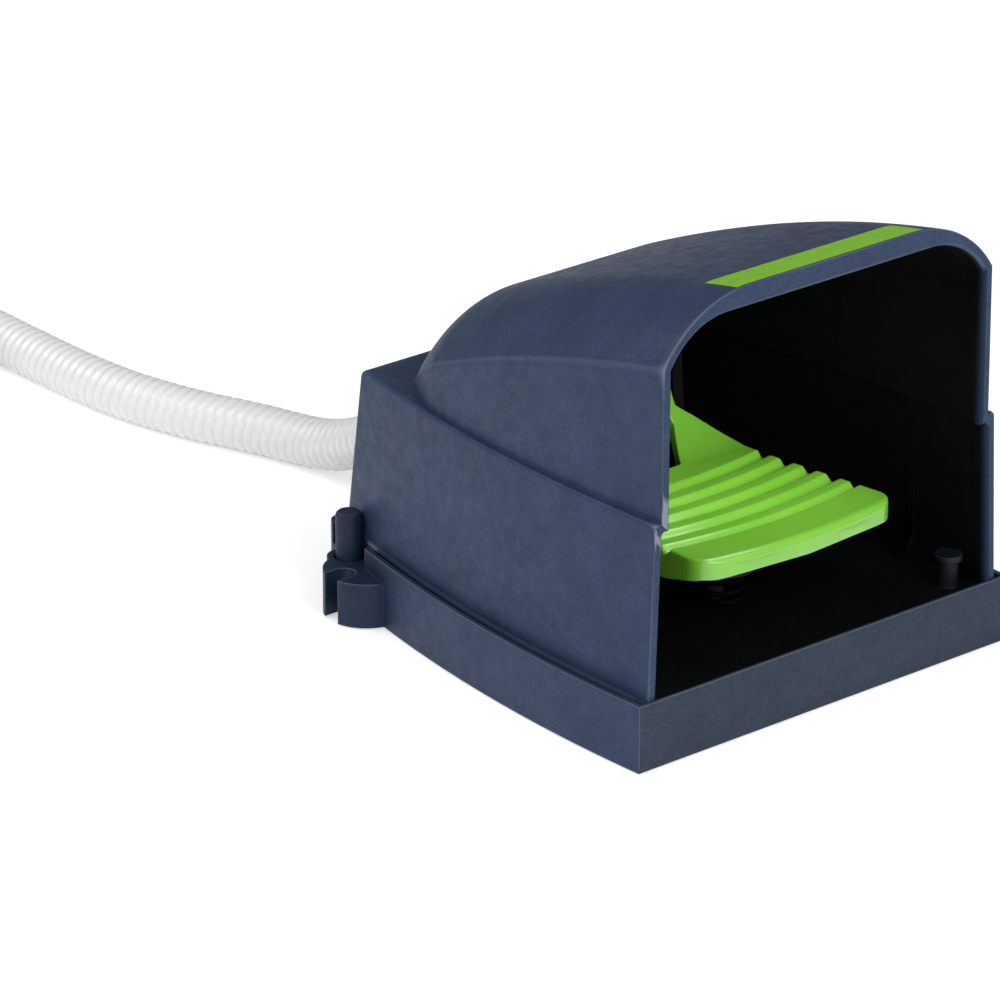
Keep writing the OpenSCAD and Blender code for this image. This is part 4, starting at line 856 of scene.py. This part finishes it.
def hood_rows(y, in_x, in_z, round_w, round_r):
    """Sections at y moved in by in_x and in_z, from the right foot over the middle to the left foot."""
    y = y[:, None]
    top = step_height(y, in_x)
    edge_z = np.maximum(top - edge_r, deck + 0.02)
    rise = np.linspace(0, 1, 26)[None, :]
    side_z = deck + (edge_z - deck) * rise
    side_x = wall_x(y, side_z, in_x)
    edge_x = wall_x(y, edge_z, in_x)
    a = np.linspace(0, np.pi / 2, 7)[None, 1:]
    edge_px = edge_x - edge_r * (1 - np.cos(a))
    edge_pz = edge_z + (top - edge_z) * np.sin(a)
    foot_x = np.minimum(dome_x(y) - in_x, edge_x - 2 * edge_r)
    flat = np.linspace(0, 1, 9)[None, 1:]
    flat_x = edge_x - edge_r + (foot_x - edge_x + edge_r) * flat
    flat_z = top + 0 * flat
    roof = roof_z(y) - in_z
    span = np.minimum(round_w, foot_x - 2)
    u = span * np.linspace(0, 1, 30)[None, :]
    to_top = np.clip(round_w - u, 0, None)
    over_z = roof - np.where(u >= round_w, 0, round_r - np.sqrt(round_r**2 - to_top**2))
    over_x = foot_x - dome_foot - u
    middle = np.linspace(0, 1, 12)[None, 1:]
    over_x = np.concatenate([over_x, over_x[:, -1:] * (1 - middle)], axis=1)
    over_z = np.concatenate([over_z, over_z[:, -1:] + (roof - over_z[:, -1:]) * eased(middle)], axis=1)
    foot_blend = 0.5
    over_z = 0.5 * (over_z + top + np.sqrt((over_z - top) ** 2 + foot_blend))
    climb = np.linspace(0, 1, 10)[None, 1:-1]
    climb_x = foot_x - dome_foot * climb
    climb_z = top + (over_z[:, :1] - top) * climb
    x = np.concatenate([side_x, edge_px, flat_x, climb_x, over_x], axis=1)
    z = np.concatenate([side_z, edge_pz, flat_z, climb_z, over_z], axis=1)
    half = np.stack([x, y + 0 * x, z], axis=2)
    return np.concatenate([half, half[:, -2::-1] * np.array([-1.0, 1.0, 1.0])], axis=1)


def hood_stations(inset):
    """Where the sections lie: along the wall, round the rear fillet, and down the rear wall to the deck."""
    a = np.linspace(0, np.pi / 2 - rear_lean, 12)[1:]
    back = fillet_c[0] + (rear_fillet - inset) * np.sin(a)
    z_back = step_height(back[-1:], inset)[0]
    low = rear_y(np.linspace(z_back, deck + 0.05, 26)[1:], inset)
    return np.concatenate([np.linspace(hood_front + lip_deep + 0.5, fillet_c[0], 120), back, low])


def hood_shell():
    """Outer rows from the mouth to the rear, inner rows back to the lip, joined at the mouth and the foot."""
    front_y = hood_front + np.array([0.0, 0.08, 0.27, 0.55, 0.9, 3.0])
    front_in = np.array([0.6, 0.37, 0.17, 0.05, 0.0, 0.0])
    rows = [hood_rows(front_y[k:k + 1], front_in[k], front_in[k], shoulder_w, shoulder_r) for k in range(6)]
    rows.append(hood_rows(hood_stations(0.0), 0.0, 0.0, shoulder_w, shoulder_r))
    rows.append(hood_rows(hood_stations(wall)[::-1], wall, wall, shoulder_w, shoulder_r))
    lip_y = hood_front + np.array([lip_deep + 0.2, lip_deep, 2.0, 0.9, 0.3, 0.0])
    lip_less = np.array([0.0, 0.0, 0.0, 0.0, 0.35, 0.8])
    rows.append(hood_rows(lip_y[:1], wall, wall, shoulder_w, shoulder_r))
    rows += [hood_rows(lip_y[k:k + 1], lip_side - lip_less[k], lip_top - lip_less[k], mouth_w, mouth_r)
             for k in range(1, 6)]
    rim_near, rim_next = 0.05, 0.12
    across_rim = rows[-1] - rows[0]
    rows = [rows[0] + across_rim * rim_next, rows[0] + across_rim * rim_near] + rows
    rows += [rows[-1] - across_rim * rim_near, rows[-1] - across_rim * rim_next]
    points = np.concatenate(rows)
    points[..., 1] -= base_middle_y
    n, m = points.shape[:2]
    skin = grid_faces(n, m, wrap_rows=True)
    i = np.arange(n // 2 - 1)
    right_foot = np.stack([i, i + 1, n - 2 - i, n - 1 - i], axis=1) * m
    left_foot = right_foot[:, ::-1] + m - 1
    return (points * mm).reshape(-1, 3), np.concatenate([skin, right_foot, left_foot])


post_x, post_y, post_r, post_low, post_top = 58.5, 69.3, 4.1, 5.6, 30.0
screw_r, screw_top = 1.6, 21.5
post_line = [(post_low, screw_r), (post_low, post_r), (28.8, post_r), (29.5, 3.85), (post_top, 3.3),
             (post_top, pole_r), (screw_top, pole_r), (screw_top, screw_r)]
post = turned(post_line, (post_x, post_y, 0), "z")
web_half, web_tip, web_side, web_top = 1.2, 0.8, 27.4, 28
web_in = wall_x(np.array(post_y + base_middle_y), np.array(post_top), 0.0) - 1.0
web_line = [[post_y - web_half, deck], [post_y + web_half, deck], [post_y + web_half, web_side],
            [post_y + web_tip, web_top], [post_y - web_tip, web_top], [post_y - web_half, web_side]]
web = slab(web_line, web_in, post_x)
rib_y, rib_half, rib_top, rib_reach = 34.0, 1.0, 62.0, 6
rib_at = rib_y - base_middle_y
rib_foot = wall_x(np.array(rib_y), np.array(deck), wall)
rib_head = wall_x(np.array(rib_y), np.array(rib_top), wall)
rib_line = [[rib_foot - rib_reach, deck], [rib_foot + 1, deck], [rib_head + 1, rib_top], [rib_head, rib_top],
            [rib_foot - 1.6, deck + 8]]
rib = slab(rib_line, rib_at - rib_half, rib_at + rib_half, "y")
hook_front, hook_rear, hook_t, hook_low, hook_catch = 3.5, 12.5, 2.4, 14.3, 16.2
hook_x = wall_x(np.array(hook_rear), np.array(deck), wall) + 0.2
hook_line = [[hook_x, deck + 1], [hook_x, hook_catch], [hook_x - 1.2, hook_catch], [hook_x - 1.2, 15.4],
             [hook_x - 0.4, hook_low], [hook_x + hook_t, hook_low], [hook_x + hook_t, deck + 1]]
hook = slab(hook_line, hook_front - base_middle_y, hook_rear - base_middle_y, "y")
exit_z, collar_in, collar_r, collar_proud = 36.0, 10.9, 15, 3.4
collar_low = rear_y(exit_z + collar_r, wall) - 0.3 - base_middle_y
collar_high = rear_y(exit_z, 0.0) + collar_proud - base_middle_y
collar_line = [(collar_low, collar_in), (collar_low, collar_r), (collar_high - 0.7, collar_r),
               (collar_high - 0.2, 14.8), (collar_high, 14.3), (collar_high, collar_in)]
collar = turned(collar_line, (0, 0, exit_z), "y", 64)

# The hood's paler edge line: partly rubbed wear, partly a painted edge highlight.
hood_edge_wear_and_glint = (0.21, 0.235, 0.29)
navy_hood, shader, tree_nodes, links, _, hood_tone = navy_finish(
    "navy_hood", navy_dark, navy_light, hood_edge_wear_and_glint, fine_mesh=True)
stripe_half, stripe_start, stripe_end, stripe_above = 0.037, -0.0829, -0.069, 0.125
hood_axes = own_axes(tree_nodes, links)
across = reckoned(tree_nodes, links, "ABSOLUTE", hood_axes["X"])
in_width = reckoned(tree_nodes, links, "LESS_THAN", across, stripe_half)
before_end = reckoned(tree_nodes, links, "LESS_THAN", hood_axes["Y"], stripe_end)
past_start = reckoned(tree_nodes, links, "GREATER_THAN", hood_axes["Y"], stripe_start)
on_top = reckoned(tree_nodes, links, "GREATER_THAN", hood_axes["Z"], stripe_above)
in_length = reckoned(tree_nodes, links, "MULTIPLY", before_end, past_start)
in_band = reckoned(tree_nodes, links, "MULTIPLY", in_width, in_length)
striped = reckoned(tree_nodes, links, "MULTIPLY", in_band, on_top)
stripe_dark, stripe_light = (0.200, 0.52, 0.009), (0.235, 0.57, 0.015)
stripe_tone = ramp(tree_nodes, links, noise(tree_nodes, links, 300.0), stripe_dark, stripe_light)
stripe_mix = colour_mix(tree_nodes)
links.new(striped, stripe_mix.inputs["Factor"])
links.new(hood_tone.outputs["Result"], stripe_mix.inputs["A"])
links.new(stripe_tone, stripe_mix.inputs["B"])
links.new(stripe_mix.outputs["Result"], shader.inputs["Base Color"])
hood = moulded("moulded_hood", [hood_shell()] + both_sides(post, web, rib, hook) + [collar], navy_hood)
hood.data.materials.append(deck_shade)
hood.data.materials.append(navy_tray)
face_x, face_y, face_z = face_values(hood.data, "center") / mm
face_x = np.abs(face_x)
face_y = face_y + base_middle_y
normal_y = face_values(hood.data, "normal")[1]
skin_half, lip_crown, lip_face, lip_round = 0.5 * wall, 122.0, -0.85, -0.3
in_walls = (wall_x(face_y, face_z, skin_half) > face_x) & (rear_y(face_z, skin_half) > face_y)
in_body = in_walls & (step_height(face_y, skin_half) > face_z)
from_side = dome_x(face_y) - dome_foot - face_x
to_shoulder = np.maximum(shoulder_w - np.maximum(from_side, 0), 0)
shoulder = shoulder_r - np.sqrt(np.maximum(shoulder_r**2 - to_shoulder**2, 0))
in_dome = (from_side > skin_half) & (roof_z(face_y) - shoulder - skin_half > face_z)
on_lip = (normal_y < lip_face) | (face_z > lip_crown)
on_mouth = (face_y < hood_front + 1.0) & (normal_y < lip_round) & on_lip
# Faces inside the hood, and the rib's, take the deck's near-black: painted shade inside the hood.
inside = (in_body | in_dome) & ~on_mouth & (face_z > deck + 0.1)
just_past = 0.2
on_rib = (np.abs(face_y - rib_y) < rib_half + just_past) & (face_z < rib_top)
inside |= on_rib & (face_x < rib_foot)
# The posts take the tray's finish, so that its painted shade darkens them as it darkens the tray's rear.
on_post = np.hypot(face_x - post_x, face_y - base_middle_y - post_y) < post_r + just_past
hood.data.polygons.foreach_set("material_index", np.where(on_post, 2, inside).astype(np.int32))
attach(hood, "base")
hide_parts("hood")
